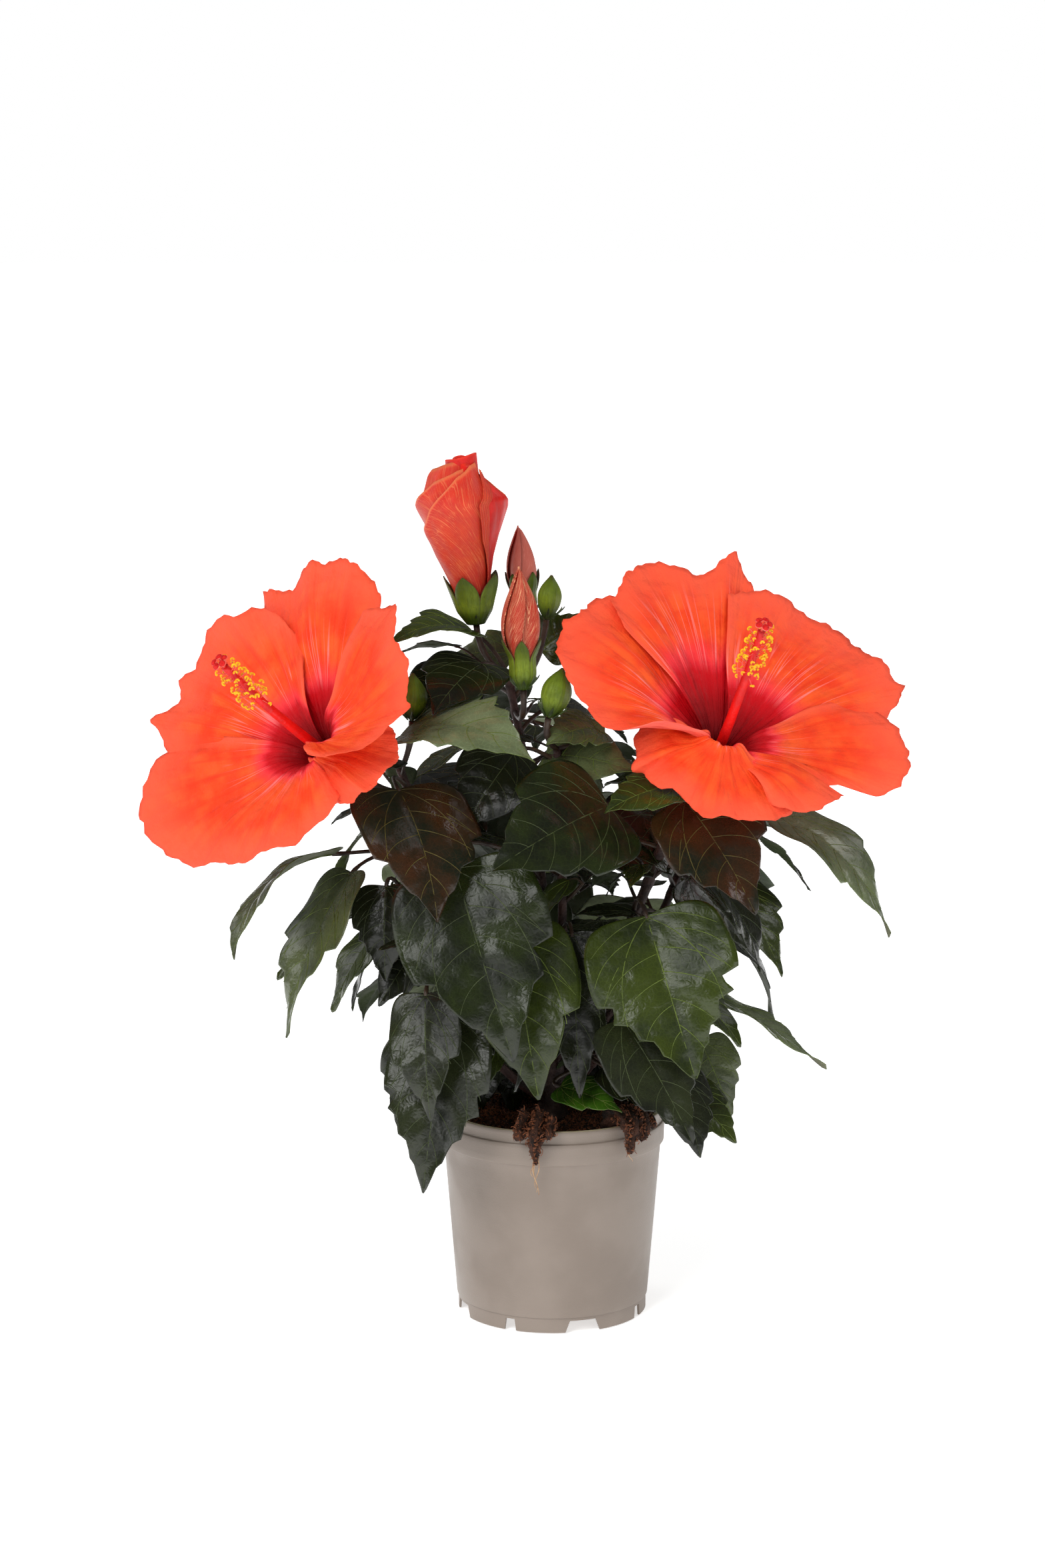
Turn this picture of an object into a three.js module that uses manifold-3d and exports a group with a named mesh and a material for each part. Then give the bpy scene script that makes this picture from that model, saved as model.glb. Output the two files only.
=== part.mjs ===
// A hibiscus shrub in a round plastic nursery pot: two open blooms, one opening bud, two coloured
// buds and three green buds over a crown of broad toothed leaves.
// Millimetres, +Z up. The origin is the centre of the pad under the pot, and the plant faces -Y.
import * as THREE from 'three';
import { mergeVertices } from 'three/addons/utils/BufferGeometryUtils.js';
import Module from 'manifold-3d';

const wasm = await Module();
wasm.setup();

// Driving sizes

const CLEARANCE = 0.3; // between pieces that touch
const pot = {
  topRadius: 60, lipRadius: 58.7, innerTopRadius: 56.4, height: 111, lipHeight: 6.5, collarHeight: 11.5,
  wallTopRadius: 58, seamRadius: 51.2, seamHeight: 8, footRadius: 50.4, wall: 1.2,
  padRadius: 13, floorHeight: 8, sides: 32,
};
const footGaps = { count: 8, first: -71.5, wide: 20, narrow: 7, depth: 6.4 }; // first is in degrees
const soil = { level: 103, flat: 12, sides: 20, grain: 1.6 };
const clumps = [ // peat that hangs over the lip: heading in degrees, thickness, how low it hangs
  { heading: -98, girth: 5.2, hang: 17 },
  { heading: -48, girth: 6.4, hang: 12 },
];
const trunk = {
  foot: [0, 4, 103.6], top: [0, 4, 152], radii: [9, 7.2, 6.4, 6.05, 4.5], shares: [0, 0.1, 0.3, 0.93, 1],
  sides: 10, rootFlare: 0.16, stemFlare: 0.03,
};

// A shoot is one curved limb: foot, bend and tip, its radius at foot and tip, and the share of it
// that is bare bough. The rest is the stem inside its mass of leaves.
// grow lists how its further leaves follow the rule of the species.
const shoots = {
  left: {
    foot: [-4, 3, 138], bend: [-42, -2, 190], tip: [-80, -28, 298], radius: [3, 1.9], bare: 0.5,
    grow: { count: 5, from: 0.56, to: 0.9, heading: 120, size: [54, 76], seed: 11 },
  },
  right: {
    foot: [4, 2, 134], bend: [34, -26, 190], tip: [66, -30, 282], radius: [3.4, 2.4], bare: 0.45,
    grow: { count: 5, from: 0.55, to: 0.93, heading: 20, size: [62, 82], seed: 23 },
  },
  centre: {
    foot: [0, 4, 148], bend: [-2, 8, 235], tip: [-24, -6, 345], radius: [3.2, 1.9], bare: 0.45,
    grow: { count: 9, from: 0.47, to: 0.9, heading: 70, size: [50, 76], seed: 5 },
  },
  front: {
    foot: [1, 0, 144], bend: [8, -34, 205], tip: [2, -34, 308], radius: [2.8, 1.8], bare: 0.3,
    grow: { count: 2, from: 0.7, to: 0.9, heading: 60, size: [44, 56], seed: 31 },
  },
  lowLeft: {
    foot: [-4, 2, 113], bend: [-40, -18, 138], tip: [-62, -44, 200], radius: [2.6, 1.6], bare: 0.35,
    grow: { count: 5, from: 0.45, to: 1, heading: 150, size: [46, 62], seed: 47 },
  },
  lowRight: {
    foot: [4, 2, 116], bend: [28, -24, 138], tip: [42, -44, 192], radius: [2.6, 1.6], bare: 0.35,
    grow: { count: 4, from: 0.45, to: 1, heading: 20, size: [46, 62], seed: 59 },
  },
  backLeft: {
    foot: [-4, 6, 126], bend: [-44, 30, 168], tip: [-80, 56, 272], radius: [2.9, 1.8], bare: 0.4,
    grow: { count: 10, from: 0.44, to: 1, heading: 95, size: [66, 90], seed: 61 },
  },
  backRight: {
    foot: [4, 6, 123], bend: [46, 30, 165], tip: [82, 48, 262], radius: [2.9, 1.8], bare: 0.4,
    grow: { count: 10, from: 0.44, to: 1, heading: 60, size: [66, 90], seed: 73 },
  },
  lowBack: {
    foot: [1, 7, 113], bend: [8, 36, 132], tip: [12, 64, 196], radius: [2.6, 1.6], bare: 0.35,
    grow: { count: 7, from: 0.4, to: 1, heading: 60, size: [52, 72], seed: 97 },
  },
  back: {
    foot: [0, 8, 140], bend: [8, 52, 185], tip: [4, 70, 302], radius: [2.9, 1.8], bare: 0.35,
    grow: { count: 12, from: 0.4, to: 1, heading: 90, size: [66, 92], seed: 89 },
  },
};

// The leaves that show from the front, each told as it grows: its place along the shoot, its stalk
// (heading, rise, length), its blade (heading, rise, roll), its length and width, and its curl.
const frontLeaves = {
  left: [
    { at: 0.95, stalk: [266, 7, 41], blade: [300, -34, 0], size: [76, 68], curl: 45 },
    { at: 0.78, stalk: [183, -3, 51], blade: [199, -2, 14], size: [84, 58], curl: 80 },
    { at: 0.75, stalk: [197, -6, 46], blade: [216, -47, 9], size: [94, 56], curl: 30 },
    { at: 0.99, stalk: [266, 53, 23], blade: [312, 32, 23], size: [92, 62], curl: 75 },
  ],
  right: [
    { at: 0.62, stalk: [277, 13, 44], blade: [297, -55, 30], size: [88, 76], curl: 25 },
    { at: 0.98, stalk: [273, 14, 31], blade: [321, -41, 26], size: [70, 60], curl: 30 },
    { at: 0.85, stalk: [174, 17, 33], blade: [3, -11, 46], size: [64, 50], curl: 30 },
  ],
  centre: [
    { at: 0.99, stalk: [39, 26, 25], blade: [353, 44, 77], size: [30, 28], curl: 20 },
    { at: 0.99, stalk: [177, 51, 29], blade: [213, 26, -11], size: [48, 42], curl: 60 },
    { at: 0.97, stalk: [87, 33, 24], blade: [169, 4, -44], size: [36, 28], curl: 25 },
    { at: 0.94, stalk: [148, 11, 30], blade: [222, -11, -30], size: [42, 42], curl: 25 },
    { at: 0.98, stalk: [226, 27, 22], blade: [238, -9, -13], size: [48, 48], curl: 40 },
  ],
  front: [
    { at: 0.65, stalk: [218, 10, 71], blade: [303, -59, 34], size: [104, 82], curl: 22 },
    { at: 0.45, stalk: [234, 15, 48], blade: [290, -62, 21], size: [90, 62], curl: 20 },
    { at: 0.47, stalk: [281, 9, 25], blade: [277, -68, 7], size: [86, 38], curl: 20 },
    { at: 0.83, stalk: [310, 13, 39], blade: [231, -5, -44], size: [80, 68], curl: 40 },
    { at: 0.84, stalk: [329, 15, 70], blade: [211, 2, -24], size: [42, 34], curl: 40 },
    { at: 0.98, stalk: [143, 2, 8], blade: [324, 7, 42], size: [52, 46], curl: 35 },
    { at: 1, stalk: [10, 24, 24], blade: [223, 16, -27], size: [34, 34], curl: 60 },
    { at: 0.96, stalk: [190, 17, 24], blade: [221, -42, -39], size: [50, 44], curl: 25 },
  ],
  lowLeft: [
    { at: 1, stalk: [160, 54, 45], blade: [261, -66, 9], size: [50, 34], curl: 25 },
    { at: 0.96, stalk: [130, 19, 19], blade: [220, -42, -33], size: [36, 28], curl: 25 },
    { at: 0.75, stalk: [261, 5, 29], blade: [248, -65, -13], size: [93, 54], curl: 20 },
    { at: 0.9, stalk: [256, -1, 33], blade: [267, -62, 15], size: [66, 38], curl: 25 },
  ],
  lowRight: [
    { at: 0.78, stalk: [269, 7, 37], blade: [317, -43, 29], size: [74, 48], curl: 30 },
    { at: 0.57, stalk: [315, -10, 46], blade: [308, -49, 15], size: [48, 34], curl: 30 },
    { at: 0.43, stalk: [329, -11, 53], blade: [327, -29, 34], size: [40, 28], curl: 30 },
    { at: 0.55, stalk: [2, 2, 50], blade: [319, -56, 38], size: [44, 30], curl: 30 },
    { at: 0.38, stalk: [239, -9, 34], blade: [325, -1, 26], size: [38, 26], curl: 30 },
    { at: 0.43, stalk: [278, 5, 29], blade: [327, -17, 23], size: [54, 30], curl: 30 },
  ],
  backLeft: [
    { at: 0.57, stalk: [220, 9, 62], blade: [205, -49, 2], size: [46, 36], curl: 20 },
  ],
  backRight: [
    { at: 0.42, stalk: [322, 4, 59], blade: [356, -25, -2], size: [72, 44], curl: 15 },
    { at: 0.95, stalk: [304, 14, 70], blade: [344, -17, 9], size: [92, 54], curl: 60 },
    { at: 0.78, stalk: [277, 16, 47], blade: [334, -34, 20], size: [50, 46], curl: 30 },
  ],
};

// An open bloom: the middle of its throat, the heading and rise of its axis, the shoot that bears
// it, and each petal's margin as turns and reaches, with how far its outer part folds back.
const blooms = {
  left: {
    throat: [-123, -75, 318], axis: [229, 32], shoot: 'left', at: 0.93,
    petals: [
      {
        back: -6,
        edge: [
          [-36, 20], [-27, 28], [-20, 36], [-12, 45], [-5, 49], [5, 52], [12, 55], [17, 60], [22, 64],
          [28, 61], [33, 64], [37, 68], [41, 71], [48, 69], [54, 69], [60, 78], [66, 82], [74, 77], [84, 72],
        ],
      },
      {
        back: 0,
        edge: [
          [78, 60], [82, 74], [86, 84], [93, 94], [99, 100], [105, 104], [109, 101], [113, 106], [118, 105],
          [124, 98], [129, 104], [134, 112], [136, 98], [140, 84],
        ],
      },
      {
        back: -3,
        edge: [
          [120, 58], [128, 82], [136, 97], [141, 95], [145, 104], [149, 109], [153, 111], [159, 103],
          [163, 101], [168, 109], [172, 100], [178, 102], [181, 111], [184, 102], [191, 93], [198, 88],
          [206, 78],
        ],
      },
      {
        back: 4,
        edge: [
          [184, 88], [193, 97], [202, 102], [209, 108], [215, 105], [219, 104], [226, 98], [232, 92],
          [238, 87], [242, 79], [251, 73], [260, 69], [269, 63], [277, 59], [287, 58], [291, 52], [298, 47],
          [309, 46], [320, 36],
        ],
      },
      {
        back: 10,
        edge: [
          [298, 30], [306, 33], [315, 38], [322, 41], [330, 43], [336, 49], [344, 48], [354, 49], [364, 47],
          [374, 46], [384, 43], [394, 34],
        ],
      },
    ],
  },
  right: {
    throat: [87, -60, 320], axis: [289, 47], shoot: 'right', at: 1,
    petals: [
      {
        back: 0,
        edge: [
          [56, 88], [63, 96], [69, 113], [71.5, 125], [77, 111], [82, 104], [85, 108], [90, 112], [94, 118],
          [99, 115], [104, 110], [108, 102], [113, 98], [119, 78],
        ],
      },
      {
        back: 2,
        edge: [
          [100, 84], [108, 99], [115, 105], [121, 102], [126, 100], [131, 103], [136, 99], [142, 97],
          [146, 92], [149, 86], [152, 81], [155, 78], [160, 72], [167, 70], [172, 65], [176, 58], [178, 46],
          [179, 34],
        ],
      },
      {
        back: 12,
        edge: [
          [148, 40], [158, 52], [168, 56], [176, 55], [184, 54], [188, 49], [191, 40], [196, 44], [204, 46],
          [211, 46], [217, 41], [229, 42], [238, 46], [244, 52], [257, 47], [273, 48], [285, 52], [301, 52],
          [312, 44],
        ],
      },
      {
        back: 6,
        edge: [
          [288, 44], [297, 54], [306, 62], [319, 66], [326, 70], [330, 73], [331.5, 86], [336, 94],
          [343, 98], [349, 98], [356, 94], [362, 90], [374, 84],
        ],
      },
      {
        back: 2,
        edge: [
          [354, 78], [363, 90], [369, 104], [373, 111], [376, 105], [381, 108], [384, 105], [389, 107],
          [398, 109], [407, 108], [415, 107], [425, 101], [434, 90],
        ],
      },
    ],
  },
};
const corolla = {
  tubeRadius: 3.6, flare: 2.1, depth: 30, rise: 36, steepness: 2.6, throatFloor: 5, thick: 1.6, turns: 36,
};
const column = {
  length: 98, radius: [2.6, 1.7], lean: 6, anthers: 8, antherShare: 0.42, antherReach: 6.5,
  stigmas: 5, stigmaReach: 5.4,
};
const calyx = { sepals: 5, length: 19, mouth: 8.5, foot: 3.4, wall: 1, below: 7, floor: 3 };

// A bud: the seat of its calyx, its tip, its girth and where it is fullest, how its base and top
// draw in, its ridges and their twist, and the shares of its height where its petals start and its
// calyx ends. A green bud is all calyx.
const buds = {
  opening: {
    seat: [-40, -10, 370], tip: [-47, -12, 458], girth: 23.5, fullest: 0.62, base: 1.05, top: 0.5,
    ridge: 0.13, twist: 1.4, mouth: 0.55, seatShare: 0.08, cup: 0.3, shoot: 'centre', at: 0.985,
    sides: 15, rows: 7,
  },
  coral_front: {
    seat: [-15.5, -40, 340], tip: [-18, -43, 403.5], girth: 10.5, fullest: 0.45, base: 0.7, top: 0.8,
    ridge: 0.05, twist: 1.2, seatShare: 0.1, cup: 0.42, shoot: 'centre', at: 0.9, sides: 10, rows: 7,
  },
  coral_back: {
    seat: [-14, 8, 372], tip: [-18.5, 6, 420], girth: 9.5, fullest: 0.45, base: 0.7, top: 0.7,
    ridge: 0.05, twist: 0.8, seatShare: 0.1, cup: 0.5, shoot: 'centre', at: 0.96, sides: 10, rows: 6,
  },
  green_top: {
    seat: [-3.6, -5, 372], tip: [-0.8, -5, 395.5], girth: 6.8, fullest: 0.5, base: 0.6, top: 0.8,
    ridge: 0.1, twist: 0, cup: 0, shoot: 'centre', at: 0.93, sides: 10, rows: 5,
  },
  green_left: {
    seat: [-73, -33, 323], tip: [-72.4, -35, 348], girth: 7.6, fullest: 0.5, base: 0.6, top: 0.8,
    ridge: 0.1, twist: 0, cup: 0, shoot: 'left', at: 0.99, sides: 10, rows: 5,
  },
  green_right: {
    seat: [-2.6, -45, 326], tip: [4.6, -45, 352], girth: 8, fullest: 0.5, base: 0.6, top: 0.8,
    ridge: 0.1, twist: 0, cup: 0, shoot: 'front', at: 1, sides: 10, rows: 5,
  },
};
const twigRadius = 1.3;
const stalkRadius = 1;
const lowestLeaf = 20; // above the ground
const weldReach = 1e-4; // points nearer than this are one
const leafRows = [ // the rows across a blade, by the length from which it has them
  { from: 96, shares: [0.14, 0.34, 0.58, 0.8] },
  { from: 48, shares: [0.16, 0.42, 0.74] },
  { from: 0, shares: [0.22, 0.62] },
];
const blade = { // thick is a share of its length, trough how steeply its halves rise from the midrib
  thick: 0.012, trough: 0.16, fill: 1.1, lobe: 0.07, lobeEnd: 0.45,
  taper: 0.4, taperFrom: 0.62, taperTo: 0.96,
};

// How a shoot's further leaves follow each other, in degrees and millimetres. A range is its lower
// end and its width.
const rule = {
  turn: 144, sway: 30, stalk: [20, 18], stalkRise: 30, droop: [-38, 40], droopSway: 16, curl: [22, 34],
  roll: 36, shape: [0.62, 0.14], lengthSway: 6, swing: 21, sink: 3, shrink: 0.02, gap: 6.5, tries: 13,
};

const colours = {
  pot: 0x8f8378, soil: 0x3a2418, bark: 0x3d2a24, leaf: 0x243318, petal: 0xff4a25, column: 0xd8261c,
  calyx: 0x4d6a1c, bud: 0xd9492f,
};

// Small tools

const radians = THREE.MathUtils.degToRad;
const vec = (p) => new THREE.Vector3(...p);
const finish = (color, roughness) => (
  new THREE.MeshStandardMaterial({ color, roughness, metalness: 0 }));

function randomFrom(seed) { // the same seed always gives the same plant
  let state = seed;
  return () => {
    state = (state * 16807) % 2147483647;
    return state / 2147483647;
  };
}

function heading(az, rise) {
  const a = radians(az);
  const e = radians(rise);
  return new THREE.Vector3(Math.cos(a) * Math.cos(e), Math.sin(a) * Math.cos(e), Math.sin(e));
}

function solidFrom(positions, faces) {
  const geometry = new THREE.BufferGeometry();
  const places = new Float32Array(positions.flatMap((p) => [p.x, p.y, p.z]));
  geometry.setAttribute('position', new THREE.BufferAttribute(places, 3));
  geometry.setIndex(faces);
  return solidOf(geometry);
}

function solidOf(source) {
  const plain = source.clone();
  plain.deleteAttribute('normal');
  plain.deleteAttribute('uv');
  const merged = mergeVertices(plain, weldReach);
  return new wasm.Manifold(new wasm.Mesh({
    numProp: 3,
    vertProperties: new Float32Array(merged.attributes.position.array),
    triVerts: new Uint32Array(merged.index.array),
  }));
}

function meshOf(name, solid, material) {
  const found = solid.getMesh();
  const geometry = new THREE.BufferGeometry();
  const places = new Float32Array(found.numVert * 3);
  for (let i = 0; i < found.numVert; i += 1) {
    places.set(found.vertProperties.subarray(i * found.numProp, i * found.numProp + 3), i * 3);
  }
  geometry.setAttribute('position', new THREE.BufferAttribute(places, 3));
  geometry.setIndex(new THREE.BufferAttribute(found.triVerts, 1));
  geometry.computeVertexNormals();
  const mesh = new THREE.Mesh(geometry, material);
  mesh.name = name;
  return mesh;
}

const fuse = (solids) => solids.reduce((whole, next) => whole.add(next));

// Joins rings of points, each as long as the last, into one closed skin. A ring may be one point.
function loft(rings) {
  const points = rings.flat();
  const starts = [];
  rings.reduce((sum, ring) => { starts.push(sum); return sum + ring.length; }, 0);
  const faces = [];
  const pair = (r, i, j) => (
    rings[r].length === 1 ? [starts[r], starts[r]] : [starts[r] + i, starts[r] + j]);
  for (let r = 0; r + 1 < rings.length; r += 1) {
    const n = Math.max(rings[r].length, rings[r + 1].length);
    for (let i = 0; i < n; i += 1) {
      const j = (i + 1) % n;
      const a = pair(r, i, j);
      const b = pair(r + 1, i, j);
      if (a[0] !== a[1]) faces.push(a[0], a[1], b[1]);
      if (b[0] !== b[1]) faces.push(a[0], b[1], b[0]);
    }
  }
  const cap = (ring, start, flip) => {
    for (let i = 1; i + 1 < ring.length; i += 1) {
      faces.push(start, start + (flip ? i + 1 : i), start + (flip ? i : i + 1));
    }
  };
  cap(rings[0], starts[0], true);
  cap(rings[rings.length - 1], starts[rings.length - 1], false);
  const solid = solidFrom(points, faces);
  return solid.volume() > 0 ? solid : solidFrom(points, faces.toReversed());
}

// A ring round a point, square to a direction.
function ring(centre, along, radius, sides, shape = () => 1) {
  const ref = Math.abs(along.y) > 0.9 ? new THREE.Vector3(1, 0, 0) : new THREE.Vector3(0, 1, 0);
  const u = new THREE.Vector3().crossVectors(ref, along).normalize();
  const w = new THREE.Vector3().crossVectors(along, u).normalize();
  return Array.from({ length: sides }, (_, i) => {
    const a = (2 * Math.PI * i) / sides;
    const r = radius * shape(a);
    return centre.clone().addScaledVector(u, r * Math.cos(a)).addScaledVector(w, r * Math.sin(a));
  });
}

// A tapering limb along a curve, from share `from` to share `to` of it.
function limb(curve, radii, sides, steps, from = 0, to = 1) {
  return loft(Array.from({ length: steps + 1 }, (_, i) => {
    const t = from + ((to - from) * i) / steps;
    return ring(curve.getPoint(t), curve.getTangent(t), THREE.MathUtils.lerp(radii[0], radii[1], t), sides);
  }));
}

const shootCurve = (s) => new THREE.QuadraticBezierCurve3(vec(s.foot), vec(s.bend), vec(s.tip));

// Leaves

// A leaf blade's own axes: along, up out of its upper face, and sideways.
function leafAxes([az, rise, roll]) {
  const along = heading(az, rise);
  const up = new THREE.Vector3(0, 0, 1).addScaledVector(along, -along.z).normalize();
  const side = new THREE.Vector3().crossVectors(along, up);
  const r = radians(roll);
  const rolledUp = up.clone().multiplyScalar(Math.cos(r)).addScaledVector(side, Math.sin(r));
  return { along, up: rolledUp, side: new THREE.Vector3().crossVectors(along, rolledUp) };
}

// The outline of half a blade: how far along and how far out the margin is at share s round it.
function marginAt(s) {
  const taper = 1 - blade.taper * THREE.MathUtils.smoothstep(s, blade.taperFrom, blade.taperTo);
  return {
    along: s ** 1.4 - blade.lobe * Math.sin(Math.PI * Math.min(1, s / blade.lobeEnd)),
    out: Math.sin(Math.PI * s ** 0.8) ** 0.75 * taper,
  };
}

// The point of a blade on row s, at v from -1 at one margin through the midrib to 1.
function leafPoint(leaf, s, v, lift = 0) {
  const [length, width] = leaf.size;
  const rib = s < 0.3 ? 0.2 * s : 0.06 + 0.94 * ((s - 0.3) / 0.7) ** 1.1;
  const margin = marginAt(s);
  const across = Math.abs(v);
  const t = rib + (margin.along - rib) * across ** 1.3;
  const out = (v * margin.out * width) / 2;
  const curl = Math.max(0.02, radians(leaf.curl));
  const { along, up, side } = leaf.axes;
  const c = Math.cos(curl * t);
  const k = Math.sin(curl * t);
  const normal = up.clone().multiplyScalar(c).addScaledVector(along, k);
  const trough = blade.trough * (Math.abs(out) - (blade.fill * out * out) / width);
  return leaf.seat.clone()
    .addScaledVector(along, (length * k) / curl)
    .addScaledVector(up, (-length * (1 - c)) / curl)
    .addScaledVector(side, out)
    .addScaledVector(normal, trough + lift);
}

function bladeSolid(leaf) {
  const thick = blade.thick * leaf.size[0];
  const { shares } = leafRows.find((rows) => leaf.size[0] >= rows.from);
  const points = [];
  for (const lift of [thick / 2, -thick / 2]) {
    points.push(leafPoint(leaf, 0, 0, lift));
    for (const s of shares) {
      for (const v of [-1, 0, 1]) points.push(leafPoint(leaf, s, v, lift));
    }
    points.push(leafPoint(leaf, 1, 0, lift));
  }
  const half = points.length / 2;
  const rows = shares.length;
  const at = (row, col) => 1 + row * 3 + col;
  const faces = [];
  const both = (a, b, c) => faces.push(a, b, c, a + half, c + half, b + half);
  for (const col of [0, 1]) {
    both(0, at(0, col), at(0, col + 1));
    for (let r = 0; r + 1 < rows; r += 1) {
      both(at(r, col), at(r + 1, col), at(r + 1, col + 1));
      both(at(r, col), at(r + 1, col + 1), at(r, col + 1));
    }
    both(at(rows - 1, col), half - 1, at(rows - 1, col + 1));
  }
  const edge = [0];
  for (let r = 0; r < rows; r += 1) edge.push(at(r, 2));
  edge.push(half - 1);
  for (let r = rows - 1; r >= 0; r -= 1) edge.push(at(r, 0));
  edge.forEach((a, i) => {
    const b = edge[(i + 1) % edge.length];
    faces.push(a, b, b + half, a, b + half, a + half);
  });
  const solid = solidFrom(points, faces);
  return solid.volume() > 0 ? solid : solidFrom(points, faces.toReversed());
}

// The stalk swings from the stem into the line of the blade.
function stalkCurve(leaf) {
  const bow = leaf.seat.clone().addScaledVector(leaf.axes.along, -0.45 * leaf.root.distanceTo(leaf.seat));
  const end = leafPoint(leaf, 0.18, 0);
  return new THREE.QuadraticBezierCurve3(leaf.root, bow, end);
}

function makeLeaf(curve, spec) {
  const root = curve.getPoint(spec.at);
  const [az, rise, reach] = spec.stalk;
  const leaf = { ...spec, root, axes: leafAxes(spec.blade) };
  leaf.seat = root.clone().addScaledVector(heading(az, rise), reach);
  return leaf;
}

// Dots spread over a blade, by which a growing leaf feels what is near it.
function leafDots(leaf) {
  const dots = [];
  for (const s of [0.08, 0.2, 0.32, 0.44, 0.56, 0.68, 0.8, 0.9, 1]) {
    const across = s === 1 ? [0] : [-1, -0.66, -0.33, 0, 0.33, 0.66, 1];
    for (const v of across) dots.push(leafPoint(leaf, s, v));
  }
  return dots;
}

const nearPot = (p) => p.z < pot.height + 5 && Math.hypot(p.x, p.y) < pot.topRadius + 5;

// A blade keeps clear of all that has grown, and its stalk of what other shoots bear.
function isClear(name, leaf, taken) {
  const near = (dot, other) => dot.distanceToSquared(other.point) < rule.gap ** 2;
  const others = taken.filter((t) => t.owner !== name);
  const isFree = (dot) => !nearPot(dot) && dot.z > lowestLeaf && !taken.some((t) => near(dot, t));
  return leafDots(leaf).every(isFree)
    && alongCurve(stalkCurve(leaf), 0.3, 4).every((dot) => !others.some((t) => near(dot, t)));
}

// Grows one shoot's further leaves: each turns on from the last, larger and more drooping lower
// down. A leaf that would meet something swings aside, and is skipped if it stays in the way.
function growLeaves(name, taken) {
  const { grow } = shoots[name];
  const curve = shootCurve(shoots[name]);
  const chance = randomFrom(grow.seed);
  const sway = (width) => width * (chance() - 0.5);
  const kept = [];
  for (let k = 0; k < grow.count; k += 1) {
    const share = k / Math.max(1, grow.count - 1);
    const length = grow.size[1] + (grow.size[0] - grow.size[1]) * share + sway(rule.lengthSway);
    const az = grow.heading + rule.turn * k + sway(rule.sway);
    const reach = rule.stalk[0] + rule.stalk[1] * chance();
    const droop = rule.droop[0] + rule.droop[1] * share + sway(rule.droopSway);
    const curl = rule.curl[0] + rule.curl[1] * chance();
    const roll = sway(rule.roll);
    const width = length * (rule.shape[0] + rule.shape[1] * chance());
    for (let n = 0; n < rule.tries; n += 1) {
      const swing = rule.swing * Math.ceil(n / 2) * (n % 2 ? 1 : -1);
      const smaller = 1 - rule.shrink * n;
      const leaf = makeLeaf(curve, {
        at: grow.from + (grow.to - grow.from) * share,
        stalk: [az + swing, rule.stalkRise - rule.sink * n, reach],
        blade: [az + swing, droop - rule.sink * n, roll],
        size: [length * smaller, width * smaller],
        curl,
      });
      if (isClear(name, leaf, taken)) {
        kept.push(leaf);
        for (const point of [...leafDots(leaf), ...alongCurve(stalkCurve(leaf), 0.2, 5)]) {
          taken.push({ point, owner: name });
        }
        break;
      }
    }
  }
  return kept;
}

// Blooms and buds

// A bloom's own axes: out along its column, and two across, the first of them level.
function bloomAxes(bloom) {
  const out = heading(...bloom.axis);
  const level = new THREE.Vector3(0, 0, 1).cross(out).normalize();
  return { out, level, rise: new THREE.Vector3().crossVectors(out, level) };
}

// How far the petals reach, and fold back, at a turn round the bloom: the farthest margin counts.
function reachAt(bloom, turn) {
  let found = { reach: 0, back: 0 };
  for (const { edge, back } of bloom.petals) {
    for (const angle of [turn - 360, turn, turn + 360]) {
      for (let k = 1; k < edge.length; k += 1) {
        const [[from, low], [to, high]] = [edge[k - 1], edge[k]];
        const reach = THREE.MathUtils.mapLinear(angle, from, to, low, high);
        if (angle >= from && angle <= to && reach > found.reach) found = { reach, back };
      }
    }
  }
  return found;
}

// A point of the corolla, at share t from the bottom of its tube to its margin.
function corollaPoint(bloom, turn, t, lift = 0) {
  const { reach, back } = reachAt(bloom, turn);
  const radius = corolla.tubeRadius + (reach - corolla.tubeRadius) * t ** corolla.flare;
  const high = -corolla.depth + corolla.rise * (1 - Math.exp(-corolla.steepness * t)) - back * t ** 4 + lift;
  return bloomPoint(bloom, turn, radius, high);
}

// A point at a turn round a bloom's axis, a distance out from it and a height above the throat.
function bloomPoint(bloom, turn, radius, high) {
  const a = radians(turn);
  return vec(bloom.throat)
    .addScaledVector(bloom.frame.level, radius * Math.cos(a))
    .addScaledVector(bloom.frame.rise, radius * Math.sin(a))
    .addScaledVector(bloom.frame.out, high);
}

const bloomTurns = Array.from({ length: corolla.turns }, (_, i) => (360 / corolla.turns) * i);

// One closed skin: up the outside from the seat, round the margin, and down the inside of the tube.
function corollaSolid(bloom) {
  const shares = [0.12, 0.32, 0.55, 0.78, 1];
  const round = (radius, high) => bloomTurns.map((a) => bloomPoint(bloom, a, radius, high));
  return loft([
    round(2.2, -corolla.depth - calyx.below + calyx.floor + 3 * CLEARANCE),
    ...shares.map((t) => bloomTurns.map((a) => corollaPoint(bloom, a, t, -corolla.thick))),
    ...shares.toReversed().map((t) => bloomTurns.map((a) => corollaPoint(bloom, a, t))),
    round(column.radius[0] + 0.8, -corolla.depth + corolla.throatFloor),
  ]);
}

// The stamen column: a slim rod whose outer part bears anthers, with five stigmas at its tip.
function columnCurve(bloom) {
  const { out, rise } = bloom.frame;
  const foot = vec(bloom.throat).addScaledVector(out, -corolla.depth + corolla.throatFloor + CLEARANCE);
  const tip = foot.clone().addScaledVector(out, column.length).addScaledVector(rise, column.lean);
  const bow = foot.clone().addScaledVector(out, column.length * 0.55);
  return new THREE.QuadraticBezierCurve3(foot, bow, tip);
}

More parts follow.
